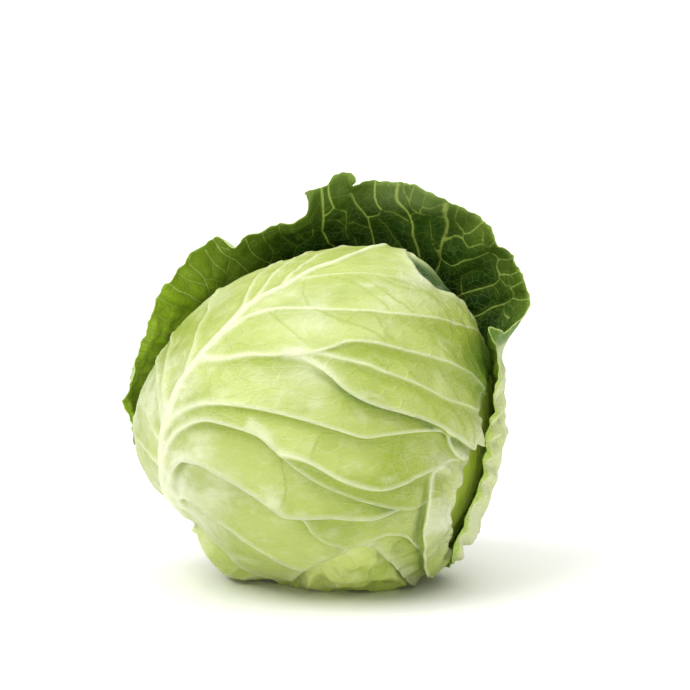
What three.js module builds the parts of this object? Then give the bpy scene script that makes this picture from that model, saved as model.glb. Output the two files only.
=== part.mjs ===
import * as THREE from 'three';
import { mergeVertices } from 'three/addons/utils/BufferGeometryUtils.js';

// A white cabbage lying on its side: a packed heart, three wrapper leaves closed round it and
// one loose dark leaf cupped behind. It grows from the cut stem, low at the back left, to the
// crown, high at the right. Places on it are told by two angles: how far round (0 right,
// 90 up) and how far away from the front (0 front, 90 rim, 180 back).

const HEAD_CENTRE = [-18, 0, 85];        // middle of the head, from the middle of its rest spot
const FRONT_TIP = 9;                     // degrees the front of the head looks up from level
const FRONT_DEPTH = 88;                  // centre to front
const BACK_DEPTH = 84;                   // centre to back
const HEAD_OUTLINE = [                   // degrees round, centre to rim
  [0, 90.8], [20, 92.8], [40, 94.9], [60, 94.9], [80, 86.7], [100, 80], [120, 79.6],
  [140, 81.6], [160, 84.7], [180, 91.8], [200, 90.8], [220, 81.6], [240, 87.2],
  [260, 86.4], [280, 90.3], [300, 96.9], [320, 94.9], [340, 91.8],
];

const STEM = { round: 225, away: 127 };  // where the stem leaves the head
const STEM_RADIUS = 15;
const STEM_PROUD = 5;                    // cut face beyond the head

const HEART_LIFT = -6.2;                 // lifts are from the head's own skin to the outer face
const LOWER_LIFT = -3.2;
const LOWER_BULGE = 4.2;                 // extra lift where nothing covers the lower leaf
const LOWER_LOBE = 4.5;                  // and where it stands out by itself, low on the left
const CROWN_LIFT = -1.5;
const FRONT_LIFT = 0.4;
const LOOSE_LIFT = 5.2;
const LOOSE_LEAN = 15;                   // degrees over which the loose leaf leans out
const HUG_LEAN = 4;                      // and where it hugs the right side

const BLADE = 1.1;                       // leaf blade thickness
const RIM = 0.8;                         // thickness of a blade at its margin
const RIB_HEIGHT = 3;                    // midrib over the blade
const RIB_WIDTH = 5;
const PLEAT_DROP = 4.5;                  // how fast a pleat falls off on its steep side
const PLEAT_SLOPE = 15;                  // and on its long side

const radians = THREE.MathUtils.degToRad;
const smooth = THREE.MathUtils.smoothstep;
const centre = new THREE.Vector3(...HEAD_CENTRE);
const across = new THREE.Vector3(1, 0, 0);
const upward = new THREE.Vector3(0, Math.sin(radians(FRONT_TIP)), Math.cos(radians(FRONT_TIP)));
const forward = new THREE.Vector3(0, -Math.cos(radians(FRONT_TIP)), Math.sin(radians(FRONT_TIP)));

// Radius of the rim at any angle round, eased between the listed ones.
function rimRadius(round) {
  const step = 360 / HEAD_OUTLINE.length;
  const place = (((round % 360) + 360) % 360) / step;
  const index = Math.floor(place);
  const f = place - index;
  const [a, b, c, d] = [-1, 0, 1, 2].map(
    (k) => HEAD_OUTLINE[(index + k + HEAD_OUTLINE.length) % HEAD_OUTLINE.length][1]);
  return b + 0.5 * f * (c - a + f * (2 * a - 5 * b + 4 * c - d + f * (3 * (b - c) + d - a)));
}

function direction(round, away) {
  const s = Math.sin(radians(away));
  return new THREE.Vector3()
    .addScaledVector(across, s * Math.cos(radians(round)))
    .addScaledVector(upward, s * Math.sin(radians(round)))
    .addScaledVector(forward, Math.cos(radians(away)));
}

function angles(dir) {
  const round = Math.atan2(dir.dot(upward), dir.dot(across));
  const away = Math.acos(THREE.MathUtils.clamp(dir.dot(forward), -1, 1));
  return [THREE.MathUtils.radToDeg(round), THREE.MathUtils.radToDeg(away)];
}

// Centre to skin of the whole head, which the leaves follow at their own lifts.
function headRadius(dir) {
  const w = dir.dot(forward);
  const rim = rimRadius(angles(dir)[0]);
  const depth = w > 0 ? FRONT_DEPTH : BACK_DEPTH;
  return 1 / Math.sqrt((1 - w * w) / (rim * rim) + (w * w) / (depth * depth));
}

// Direction of the spot on the near half of the head seen at x across and u up.
function onFront(x, u) {
  const r = Math.hypot(x, u);
  const rim = rimRadius(THREE.MathUtils.radToDeg(Math.atan2(u, x)));
  const flat = (r / FRONT_DEPTH) ** 2;
  const s = Math.sqrt(Math.min(1, flat / Math.max(1e-6, 1 - (r / rim) ** 2 + flat)));
  const away = THREE.MathUtils.radToDeg(Math.asin(s));
  return direction(THREE.MathUtils.radToDeg(Math.atan2(u, x)), away);
}

// A vein as a row of directions, from its root outwards.
const frontVein = (points) => points.map(([x, u]) => onFront(x, u));
const vein = (points) => points.map(([round, away]) => direction(round, away));

// Nearest spot of a vein: millimetres off it, signed by side, and the part of its length gone.
function offVein(line, dir) {
  let best = { off: Infinity, side: 1, along: 0 };
  const span = new THREE.Vector3();
  const gap = new THREE.Vector3();
  for (let i = 0; i + 1 < line.length; i++) {
    span.subVectors(line[i + 1], line[i]);
    gap.subVectors(dir, line[i]);
    const f = THREE.MathUtils.clamp(gap.dot(span) / span.lengthSq(), 0, 1);
    gap.addScaledVector(span, -f);
    const off = gap.length() * FRONT_DEPTH;
    if (off < best.off) {
      const side = -Math.sign(gap.dot(span.cross(dir))) || 1;
      best = { off, side, along: (i + f) / (line.length - 1) };
    }
  }
  return best;
}

// Rounded rib that thins out along its length.
function rib(line, height, width) {
  return (dir) => {
    const { off, along } = offVein(line, dir);
    const girth = width * (1 - 0.6 * along);
    return height * (1 - 0.5 * along) * Math.exp(-((off / girth) ** 2));
  };
}

// Pleat with its crest on a vein: a short steep drop on one side, a long slope on the other.
function pleat(line, height, steep, long) {
  return (dir) => {
    const { off, side, along } = offVein(line, dir);
    const reach = side < 0 ? steep : long;
    const swell = smooth(along, 0, 0.35) * (1 - smooth(along, 0.8, 1));
    return height * swell * Math.exp(-off / reach);
  };
}

// Net of a leaf: rings of 6, 12, 18 ... spots round a middle one, cut into even triangles.
function hexNet(rings) {
  const id = (ring, k) => (ring === 0 ? 0 : 1 + 3 * ring * (ring - 1) + (k % (6 * ring)));
  const faces = [];
  for (let ring = 0; ring < rings; ring++) {
    for (let sector = 0; sector < 6; sector++) {
      for (let k = 0; k <= ring; k++) {
        const a = id(ring, sector * ring + k);
        const b = id(ring + 1, sector * (ring + 1) + k);
        const c = id(ring + 1, sector * (ring + 1) + k + 1);
        faces.push([a, b, c]);
        if (k < ring) faces.push([a, c, id(ring, sector * ring + k + 1)]);
      }
    }
  }
  return { faces, firstRim: id(rings, 0), count: id(rings, 0) + 6 * rings };
}

// Stretches the net over a patch: the rim spots lie on the margin, and each inner spot settles
// in the middle of its neighbours, so the triangles stay even. A move that would leave one of
// the spot's triangles thinner than it was, and thin, is not made: that keeps the net unfolded
// where the margin turns inwards.
function stretchNet(net, rings, middle, edge) {
  const spots = [];
  for (let ring = 0; ring <= rings; ring++) {
    for (let k = 0; k < Math.max(1, 6 * ring); k++) {
      const rimSpot = edge[Math.round((k * rings) / Math.max(1, ring)) % edge.length];
      spots.push(middle.clone().lerp(rimSpot, ring / rings).normalize());
    }
  }
  const around = spots.map(() => []);
  net.faces.forEach((face) => face.forEach((spot) => around[spot].push(face)));
  const p = new THREE.Vector3();
  const q = new THREE.Vector3();
  const area = ([a, b, c]) => (
    p.subVectors(spots[b], spots[a]).cross(q.subVectors(spots[c], spots[a])).dot(spots[a]));
  const turn = Math.sign(net.faces.reduce((sum, face) => sum + area(face), 0));
  const thin = 0.3 * turn * net.faces.reduce((sum, face) => sum + area(face), 0) / net.faces.length;
  const thinnest = (spot) => Math.min(...around[spot].map((face) => turn * area(face)));
  for (let pass = 0; pass < 120; pass++) {
    for (let i = 0; i < net.firstRim; i++) {
      const before = thinnest(i);
      const old = spots[i].clone();
      spots[i].set(0, 0, 0);
      around[i].forEach((face) => face.forEach((n) => n !== i && spots[i].add(spots[n])));
      spots[i].normalize();
      if (thinnest(i) < Math.min(before, thin)) spots[i].copy(old);
    }
  }
  return spots;
}

// Leaf blade, the same triangles on both faces. The margin is a closed row of [round, away,
// lift]. Ribs stand on the outer face only, folds carry both faces, and near its margin the
// blade leans out to the margin's lift, easing off over reach degrees. Both the lift and the
// reach may change with the two angles.
function leaf({
  name, colour, rings, middle, margin, lift, floor, reach = 6, ribs = [], folds = [],
}) {
  const at = (value, dir) => (typeof value === 'function' ? value(...angles(dir)) : value);
  const curve = new THREE.CatmullRomCurve3(margin.map(([round, away, out]) => {
    const dir = direction(round, away);
    return dir.multiplyScalar(headRadius(dir) + out);
  }), true, 'centripetal');
  curve.arcLengthDivisions = 900;
  const edge = curve.getSpacedPoints(6 * rings).slice(0, -1).map((point) => {
    const dir = point.clone().normalize();
    return Object.assign(dir, { extra: point.length() - headRadius(dir) - at(lift, dir) });
  });
  const net = hexNet(rings);
  const outer = [];
  const inner = [];
  for (const dir of stretchNet(net, rings, direction(...middle), edge)) {
    let near = Infinity;
    let pull = 0;
    let weight = 0;
    for (const spot of edge) {
      const gap = THREE.MathUtils.radToDeg(dir.distanceTo(spot));
      const share = 1 / (gap + 0.05) ** 3;
      near = Math.min(near, gap);
      pull += share * spot.extra;
      weight += share;
    }
    const lean = (pull / weight) * Math.exp(-near / at(reach, dir));
    const fade = smooth(near, 0, 5);
    const fold = folds.reduce((sum, f) => sum + f(dir), 0) * (0.35 + 0.65 * fade);
    const ridge = ribs.reduce((high, f) => Math.max(high, f(dir)), 0) * fade;
    const base = headRadius(dir) + at(lift, dir) + lean + fold;
    const thick = THREE.MathUtils.lerp(RIM, BLADE, fade);
    const aboveFloor = (radius, level) => (
      dir.z < 0 ? Math.min(radius, (centre.z - level) / -dir.z) : radius);
    outer.push(dir.clone().multiplyScalar(aboveFloor(base + ridge, floor)));
    inner.push(dir.clone().multiplyScalar(aboveFloor(base - thick, floor + thick)));
  }
  return shell(name, colour, net, outer, inner);
}

// Closes the two faces into one body round the rim, turned to face outwards.
function shell(name, colour, net, outer, inner) {
  const { faces, firstRim, count } = net;
  const index = [];
  for (const [a, b, c] of faces) index.push(a, b, c, a + count, c + count, b + count);
  for (let a = firstRim; a < count; a++) {
    const b = a + 1 < count ? a + 1 : firstRim;
    index.push(a, a + count, b, b, a + count, b + count);
  }
  const side = outer[1].clone().sub(outer[0]).cross(outer[2].clone().sub(outer[0]));
  if (side.dot(outer[0]) < 0) index.reverse();
  const geometry = new THREE.BufferGeometry();
  const points = [...outer, ...inner].flatMap((p) => [p.x, p.y, p.z]);
  geometry.setAttribute('position', new THREE.Float32BufferAttribute(points, 3));
  geometry.setIndex(index);
  return mesh(name, geometry, colour, 0.5);
}

function mesh(name, geometry, colour, roughness) {
  geometry.computeVertexNormals();
  const piece = new THREE.Mesh(
    geometry, new THREE.MeshStandardMaterial({ color: colour, roughness, metalness: 0 }));
  piece.name = name;
  piece.position.copy(centre);
  return piece;
}

// Front wrapper leaf: the pale leaf over the whole near side. Its midrib climbs from the stem up
// the left and over the top; pleats run from it across to the ruffled right margin.
const FRONT_MARGIN = [
  [62, 90, 1], [52.5, 75, 1.2], [42.7, 75, 1.2], [36, 83, 1.5], [28, 88, 1], [20, 89, 0.8],
  [14, 87, 1], [9.8, 75, 2], [3, 65.5, 3.5], [-1, 67, 2.5], [-8.4, 72.6, 2.5], [-12.8, 61.6, 2.5],
  [-24, 62, 3], [-34, 61.6, 4], [-39.5, 72.7, 3.5], [-44, 84, 3.5], [-47, 88, 4],
  [-53, 88, 2.5], [-57.5, 88, 4], [-60, 84, 3], [-62.2, 60, 2], [-66.7, 49.2, 1.5],
  [-71.4, 45.8, 1.5], [-79.4, 49.5, 1.5], [-91.6, 57, 1.5], [-96.5, 69.2, 1], [-99, 76.6, 0.5],
  [-106, 78.5, 0.5], [-116, 76, 0.5], [-126, 70.5, 0.8], [-136.5, 76.4, 0.8],
  [-138.5, 86, 0.8], [-139.5, 100, 0.8], [-141, 111, 0.5], [-150, 116, 0.5], [-162, 120, 0.5],
  [-180, 120, 0.5], [-210, 120, 0.5], [-240, 118, 0.5], [-265, 112, 0.5], [-285, 102, 0.5],
];
const frontMidrib = [direction(219, 113), ...frontVein([
  [-72.9, -38.8], [-75, -17.9], [-73.4, 1.5], [-65.8, 17.3], [-53.6, 34.7], [-39.8, 48.5],
  [-17.3, 64.8], [10.2, 78], [30.6, 84.2],
])];
const frontPleats = [
  [1.2, [
    [-45.4, 41.8], [-33.2, 50], [-12.8, 54.6], [19.4, 53], [49, 50.5], [82.6, 39.8], [90, 37],
  ]],
  [1.7, [
    [-43.4, 29.6], [-23, 32.6], [1, 33.7], [14.8, 37.7], [33.2, 36.7], [60.2, 29.1], [84, 9],
    [88, 4],
  ]],
  [2, [[-7.7, 32.6], [12.8, 29.6], [33.2, 23.5], [55.1, 13.3], [80.1, 3.1], [90, 0]]],
  [3.2, [[-9.2, 31.1], [10.7, 22.4], [29.6, 11.2], [50, 4.6], [63.8, -2], [79, -13.3], [88, -20]]],
  [2.6, [
    [-59.2, 6.1], [-37.7, 8.2], [-16.3, 4.1], [25, -7.1], [43.4, -5.1], [63.8, -5.1], [77, -21],
    [86, -31],
  ]],
  [3, [
    [-69.4, -11.2], [-59.2, -1], [-44.9, 0], [-23, -7.7], [23, -29.1], [46.9, -27],
    [63.8, -23.5], [72, -21],
  ]],
  [2.4, [[-7.7, -19.4], [12.8, -30.1], [33.2, -36.7], [57.1, -38.8]]],
  [3.2, [
    [-69.9, -25.5], [-52, -18.9], [-31.6, -30.6], [-12.8, -42.8], [19.4, -44.4], [43.4, -43.4],
  ]],
  [2.2, [[-9.2, -45.9], [8.2, -58.1], [20.9, -59.7], [37.2, -54.1], [52, -61.7]]],
  [2.8, [
    [-65.8, -35.7], [-51, -43.9], [-29.6, -59.2], [-10.7, -70.4], [6.1, -70.4], [21.4, -63.2],
  ]],
];
const flapCrease = [
  [63.2, -24.5], [58.7, -32.6], [56.1, -47.9], [55.6, -57.6], [57.1, -69.4], [61.7, -74.5],
];
const frontLaterals = [
  [[-64.3, 21.4], [-59.2, 41.8], [-53, 57.1]], [[-74, 7.7], [-74, 31.6], [-73.4, 42.3]],
  [[-74.5, 1.5], [-79, 21.4], [-79, 29.6]], [[-77.5, -8.7], [-85.7, 4.1]],
  [[-37.7, 51], [-33.7, 61.2], [-29.1, 69.4]],
];
const nearSide = (fold) => (dir) => fold(dir) * (1 - smooth(angles(dir)[1], 72, 92));
const frontLeaf = leaf({
  name: 'front_wrapper_leaf', colour: '#c9d67f', rings: 24, middle: [120, 6],
  margin: FRONT_MARGIN, lift: FRONT_LIFT, floor: 0.6,
  ribs: [
    rib(frontMidrib, RIB_HEIGHT, RIB_WIDTH),
    ...frontLaterals.map((line) => rib(frontVein(line), 1.2, 3.2)),
  ],
  folds: [
    ...frontPleats.map(([height, line]) => (
      nearSide(pleat(frontVein(line), height, PLEAT_DROP, PLEAT_SLOPE)))),
    nearSide(pleat(frontVein(flapCrease), 3.4, 4, 16)),
  ],
});

// How far away the front leaf's margin lies at an angle round, and how bare the head is beyond it.
function frontReach(round) {
  const turn = (value) => ((value % 360) + 360) % 360;
  const ahead = FRONT_MARGIN.map(([r, away]) => ({ gap: turn(round - r), away }))
    .sort((a, b) => a.gap - b.gap)[0];
  const behind = FRONT_MARGIN.map(([r, away]) => ({ gap: turn(r - round), away }))
    .sort((a, b) => a.gap - b.gap)[0];
  const f = ahead.gap / Math.max(1e-6, ahead.gap + behind.gap);
  return THREE.MathUtils.lerp(ahead.away, behind.away, f);
}
const bare = (round, away) => smooth(away - frontReach(round), 2, 14);
const lobe = (round, away) => {
  const turn = (round + 360) % 360;
  return smooth(turn, 222, 233) * (1 - smooth(turn, 238, 254))
    * smooth(away, 66, 80) * (1 - smooth(away, 104, 116));
};

// Lower wrapper leaf: comes out of the stem under the front leaf's lower margin, round the
// bottom. It swells where nothing covers it, and the rest spot is the flat that its load pressed.
const lowerMidrib = vein([[231, 112], [238, 98], [250, 86], [268, 80], [285, 82]]);
const lowerLeaf = leaf({
  name: 'lower_wrapper_leaf', colour: '#a9bc62', rings: 10, middle: [268, 92],
  margin: [
    [229, 111, -3.2], [225, 98, -3.2], [226, 80, -3.2], [236, 62, -3.2], [252, 48, -3.2],
    [272, 42, -3.2], [292, 44, -3.2], [305, 56, -3.2], [309, 74, -3.2], [308, 92, -2],
    [300, 110, 0], [285, 124, 0], [268, 132, 0], [252, 134, 0], [241, 131, -1], [239, 122, -2],
  ],
  lift: (round, away) => (
    LOWER_LIFT + LOWER_BULGE * bare(round, away) + LOWER_LOBE * lobe(round, away)),
  floor: 0,
  ribs: [rib(lowerMidrib, 1.8, 6)],
});

// Crown wrapper leaf: behind the front leaf, from the stem over the back to the crown.
const crownLeaf = leaf({
  name: 'crown_wrapper_leaf', colour: '#b4c487', rings: 10, middle: [75, 128],
  margin: [
    [34, 80, -1.5], [44, 68, -1.5], [54, 65, -1.5], [64, 66, -1.5], [76, 76, -1.5], [95, 88, -1.5],
    [130, 98, -1.5], [160, 108, -1.5], [185, 118, -1.5], [205, 128, -1.5], [212, 138, -1.5],
    [225, 144, -1.5], [250, 150, -1.5], [300, 142, -1.5], [340, 125, -1.5], [10, 106, -1.5],
    [25, 92, -1.5],
  ],
  lift: CROWN_LIFT, floor: 5,
  ribs: [rib(vein([[225, 146], [225, 165], [70, 172], [68, 140], [64, 110], [58, 84]]), 1.4, 5)],
});

// Loose dark leaf: behind the head, wrapped round its right side and leaning out above and to
// the left. Each margin spot is [round, away, centre to margin].
const LOOSE_MARGIN = [
  [188.8, 96, 94.6], [180.3, 97, 94.8], [174.6, 96, 98], [167, 97, 95.6], [156.7, 96, 97.2],
  [144, 97, 100.5], [134.8, 96, 102.6], [127.8, 97, 104.8], [118.4, 96, 103], [115, 99, 96.5],
  [111, 98, 98.5], [100, 97, 100.5], [96, 98, 103], [93, 99, 106.5], [91.8, 96, 115],
  [86.6, 98, 121.5], [83, 95, 125.2], [80, 100, 120], [76, 98, 124], [70, 97, 127],
  [60.2, 98, 129.3], [50, 98, 131.5], [45.8, 97, 129], [43, 97, 126.5], [39.7, 96, 130],
  [33.4, 94, 127.5], [28.5, 91, 125], [25.2, 86, 117], [23.4, 78, 107.5], [21, 70.5, 104],
  [11, 68, 100.6], [1, 66, 98.6], [-8, 64.6, 97.4], [-19, 65, 98], [-32, 65, 99.8],
  [-38, 67.2, 101], [-43.5, 73, 102.4], [-47, 84, 103.6], [-50, 98, 102], [-58, 112, 100],
  [-72, 124, 97], [-92, 136, 93], [-115, 143, 90], [-135, 143, 88.5], [-155, 138, 90.5],
  [-166, 125, 93], [-170, 109, 95],
];
const looseVeins = [
  [[58, 166], [120, 152], [150, 128], [158, 108]], [[58, 156], [100, 138], [118, 116], [126, 102]],
  [[57, 145], [84, 124], [92, 106]], [[55, 130], [74, 112], [78, 102]],
  [[225, 172], [200, 150], [186, 124], [180, 104]], [[58, 160], [-5, 150], [-30, 128], [-36, 100]],
  [[58, 150], [20, 130], [0, 108], [-8, 84]], [[57, 136], [34, 116], [24, 98]],
  [[56, 122], [44, 110], [40, 100]],
];
const looseLeaf = leaf({
  name: 'loose_outer_leaf', colour: '#3f6412', rings: 19, middle: [50, 150],
  reach: (round) => LOOSE_LEAN - (LOOSE_LEAN - HUG_LEAN) * (1 - smooth(round, 14, 32))
    * smooth(round, -80, -60),
  margin: LOOSE_MARGIN.map(([round, away, radius]) => [
    round, away, radius - headRadius(direction(round, away))]),
  lift: LOOSE_LIFT, floor: 1.5,
  ribs: [
    rib(vein([[225, 144], [225, 165], [60, 178], [58, 150], [56, 122], [58, 102]]), 2.6, 6),
    ...looseVeins.map((line) => rib(vein(line), 1.3, 4)),
  ],
});

// Heart: the packed head inside, bare down the right between the front leaf and the loose one.
// It is pressed flat where the stem leaves it.
const heartFold = pleat(vein([[50, 62], [20, 72], [-5, 80], [-40, 72], [-70, 62]]), 1, 3, 10);
const heartGeometry = mergeVertices(new THREE.IcosahedronGeometry(1, 7).deleteAttribute('normal')
  .deleteAttribute('uv'));
const heartPoints = heartGeometry.getAttribute('position');
const stemDir = direction(STEM.round, STEM.away);
const stemSeat = headRadius(stemDir) + HEART_LIFT;
for (let i = 0; i < heartPoints.count; i++) {
  const dir = new THREE.Vector3().fromBufferAttribute(heartPoints, i).normalize();
  const reach = headRadius(dir) + HEART_LIFT + heartFold(dir) * 0.9;
  const low = dir.z < 0 ? (centre.z - 2) / -dir.z : Infinity;
  const facing = dir.dot(stemDir);
  const seat = facing > 0.5 ? stemSeat / facing : Infinity;
  dir.multiplyScalar(Math.min(reach, low, seat));
  heartPoints.setXYZ(i, dir.x, dir.y, dir.z);
}
const heart = mesh('heart', heartGeometry, '#7d9a3a', 0.5);

// Stem stump: cut square across, its face slightly hollow.
const stemRoot = stemSeat + 0.4;
const stemEnd = headRadius(stemDir) + STEM_PROUD;
const stump = mesh('stem_stump', new THREE.LatheGeometry([
  [0, stemRoot], [STEM_RADIUS - 2, stemRoot], [STEM_RADIUS, stemRoot + 3],
  [STEM_RADIUS - 0.5, stemEnd - 1.2], [STEM_RADIUS - 1.6, stemEnd],
  [STEM_RADIUS * 0.55, stemEnd - 0.6], [0, stemEnd - 1],
].map(([r, y]) => new THREE.Vector2(r, y)), 24), '#d9dcb4', 0.7);
stump.quaternion.setFromUnitVectors(new THREE.Vector3(0, 1, 0), stemDir);

const cabbage = new THREE.Group();
cabbage.add(heart, stump, lowerLeaf, crownLeaf, frontLeaf, looseLeaf);
export default cabbage;
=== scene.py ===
import math
from collections import namedtuple

import bmesh
import bpy
import numpy as np
from mathutils import Matrix, Vector, kdtree
from mathutils.geometry import delaunay_2d_cdt


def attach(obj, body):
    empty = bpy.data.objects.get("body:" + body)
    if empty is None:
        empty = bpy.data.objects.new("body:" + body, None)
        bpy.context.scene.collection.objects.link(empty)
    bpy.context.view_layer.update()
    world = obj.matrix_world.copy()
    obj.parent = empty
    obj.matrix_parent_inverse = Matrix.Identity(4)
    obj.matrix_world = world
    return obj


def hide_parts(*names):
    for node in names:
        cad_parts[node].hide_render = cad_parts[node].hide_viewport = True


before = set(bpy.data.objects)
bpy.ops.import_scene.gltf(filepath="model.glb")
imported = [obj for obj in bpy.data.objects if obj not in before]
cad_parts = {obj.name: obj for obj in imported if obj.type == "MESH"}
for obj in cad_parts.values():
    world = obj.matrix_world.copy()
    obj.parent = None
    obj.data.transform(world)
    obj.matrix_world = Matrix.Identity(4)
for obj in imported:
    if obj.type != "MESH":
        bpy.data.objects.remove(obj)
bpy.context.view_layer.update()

# ---- Heart ----------------------------------------------------------------------------------
# The ball of young leaves that the wrappers close on, built in place of the imported one. It is
# pressed flat where the stem leaves it, and only a strip of it shows, down the right between the
# front and the loose leaf.

HEAD_CENTRE = np.array([-18.0, 0.0, 85.0])     # mm, from the middle of the head's rest spot
FRONT_TIP = math.radians(9)                    # how far the front of the head looks up
FRONT_DEPTH = 88.0                             # mm, centre to front
BACK_DEPTH = 84.0                              # mm, centre to back
HEAD_OUTLINE = np.array([                      # mm, centre to rim, every 20 degrees round
    90.8, 92.8, 94.9, 94.9, 86.7, 80, 79.6, 81.6, 84.7,
    91.8, 90.8, 81.6, 87.2, 86.4, 90.3, 96.9, 94.9, 91.8,
])
ACROSS = np.array([1.0, 0.0, 0.0])
UPWARD = np.array([0.0, math.sin(FRONT_TIP), math.cos(FRONT_TIP)])
FORWARD = np.array([0.0, -math.cos(FRONT_TIP), math.sin(FRONT_TIP)])
MM = 0.001

HEART_LIFT = -6.2                              # mm, lifts are from the head's skin outwards
HEART_SWELL = 4.6                              # mm more where no wrapper holds it in
HEART_FOLD = 1.3                               # mm, height of the folds down the bare strip
STEM_ROUND, STEM_AWAY = 225, 127               # degrees, where the stem leaves the head


def smooth(value, low, high):
    """0 below low, 1 above high, eased in between."""
    t = np.clip((value - low) / (high - low), 0, 1)
    return t * t * (3 - 2 * t)


def band(value, low, high, falls, ends):
    """1 from high to falls, eased out to 0 at low and at ends."""
    return smooth(value, low, high) * (1 - smooth(value, falls, ends))


def unit(vectors):
    return vectors / np.linalg.norm(vectors, axis=-1, keepdims=True)


def direction(turn, away):
    """Unit vectors at degrees round the head (0 right, 90 up) and away from its front."""
    turn = np.radians(np.asarray(turn, float))[..., None]
    away = np.radians(np.asarray(away, float))[..., None]
    level = np.cos(turn) * ACROSS + np.sin(turn) * UPWARD
    return np.sin(away) * level + np.cos(away) * FORWARD


def headings(places):
    """Unit vectors of places listed as degrees round and degrees away."""
    return direction(*np.transpose(places))


def bearings(dirs):
    """Degrees round and degrees away of unit vectors."""
    turn = np.degrees(np.arctan2(dirs @ UPWARD, dirs @ ACROSS))
    return turn, np.degrees(np.arccos(np.clip(dirs @ FORWARD, -1, 1)))


def rim_radius(turn):
    """Radius of the head's rim, eased between the listed ones."""
    step = 360 / len(HEAD_OUTLINE)
    place = np.mod(turn, 360) / step
    index = np.floor(place).astype(int)
    f = place - index
    a, b, c, d = (HEAD_OUTLINE[(index + k) % len(HEAD_OUTLINE)] for k in (-1, 0, 1, 2))
    return b + 0.5 * f * (c - a + f * (2 * a - 5 * b + 4 * c - d + f * (3 * (b - c) + d - a)))


def head_radius(dirs):
    """Centre to skin of the whole head, which the leaves follow at their own lifts."""
    w = dirs @ FORWARD
    rim = rim_radius(bearings(dirs)[0])
    depth = np.where(w > 0, FRONT_DEPTH, BACK_DEPTH)
    return 1 / np.sqrt((1 - w * w) / rim ** 2 + (w / depth) ** 2)


def ripple(places, length, seed, stretch=(1, 1, 1)):
    """Soft random waves over places in mm, about -1 to 1, of that wavelength."""
    draw = np.random.default_rng(seed)
    waves = unit(draw.normal(size=(28, 3))) * draw.uniform(0.6, 1.5, (28, 1)) / np.array(stretch)
    phase = draw.uniform(0, 2 * math.pi, 28)
    return np.sin(places @ waves.T * (2 * math.pi / length) + phase).sum(1) / math.sqrt(14) * 0.6


def smooth_line(points, step, closed=False):
    """Points about step apart along a smooth curve through the given ones."""
    points = np.array(points, float)
    if closed:
        points = np.vstack([points[-1:], points, points[:2]])
    else:
        points = np.vstack([2 * points[0] - points[1], points, 2 * points[-1] - points[-2]])
    rows = []
    for a, b, c, d in zip(points, points[1:], points[2:], points[3:]):
        ta, tb, tc, td = np.cumsum([0] + [np.linalg.norm(q - p) ** 0.5 + 1e-9
                                          for p, q in ((a, b), (b, c), (c, d))])
        t = np.linspace(tb, tc, 16, endpoint=False)[:, None]
        ab = (tb - t) / (tb - ta) * a + (t - ta) / (tb - ta) * b
        bc = (tc - t) / (tc - tb) * b + (t - tb) / (tc - tb) * c
        cd = (td - t) / (td - tc) * c + (t - tc) / (td - tc) * d
        abc = (tc - t) / (tc - ta) * ab + (t - ta) / (tc - ta) * bc
        bcd = (td - t) / (td - tb) * bc + (t - tb) / (td - tb) * cd
        rows.append((tc - t) / (tc - tb) * abc + (t - tb) / (tc - tb) * bcd)
    curve = np.vstack(rows + [points[-2:-1]])
    run = np.concatenate([[0], np.cumsum(np.linalg.norm(np.diff(curve, axis=0), axis=1))])
    count = max(2, round(run[-1] / step) + 1)
    spots = np.linspace(0, run[-1], count)
    line = np.stack([np.interp(spots, run, curve[:, k]) for k in range(points.shape[1])], 1)
    return line[:-1] if closed else line


def beside(line, dirs):
    """How far off a line of directions each spot is in mm, on which side, and how far along."""
    off = np.full(len(dirs), np.inf)
    side = np.ones(len(dirs))
    along = np.zeros(len(dirs))
    for i, (start, stop) in enumerate(zip(line, line[1:])):
        span = stop - start
        gap = dirs - start
        f = np.clip(gap @ span / (span @ span), 0, 1)
        gap = gap - f[:, None] * span
        here = np.linalg.norm(gap, axis=1) * FRONT_DEPTH
        nearer = here < off
        turned = -np.sign(np.einsum("ij,ij->i", gap, np.cross(span, dirs)))
        off = np.where(nearer, here, off)
        side = np.where(nearer, turned, side)
        along = np.where(nearer, (i + f) / (len(line) - 1), along)
    return off, side, along


def above_floor(dirs, radius, level):
    """Radius held back where a spot would reach below a level over the floor."""
    down = np.maximum(-dirs[:, 2], 1e-6)
    return np.where(dirs[:, 2] < 0, np.minimum(radius, (HEAD_CENTRE[2] - level) / down), radius)


def dye(code):
    """Colour from its screen code."""
    parts = [int(code[i:i + 2], 16) / 255 for i in (1, 3, 5)]
    return (*[c / 12.92 if c < 0.04045 else ((c + 0.055) / 1.055) ** 2.4 for c in parts], 1.0)


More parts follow.
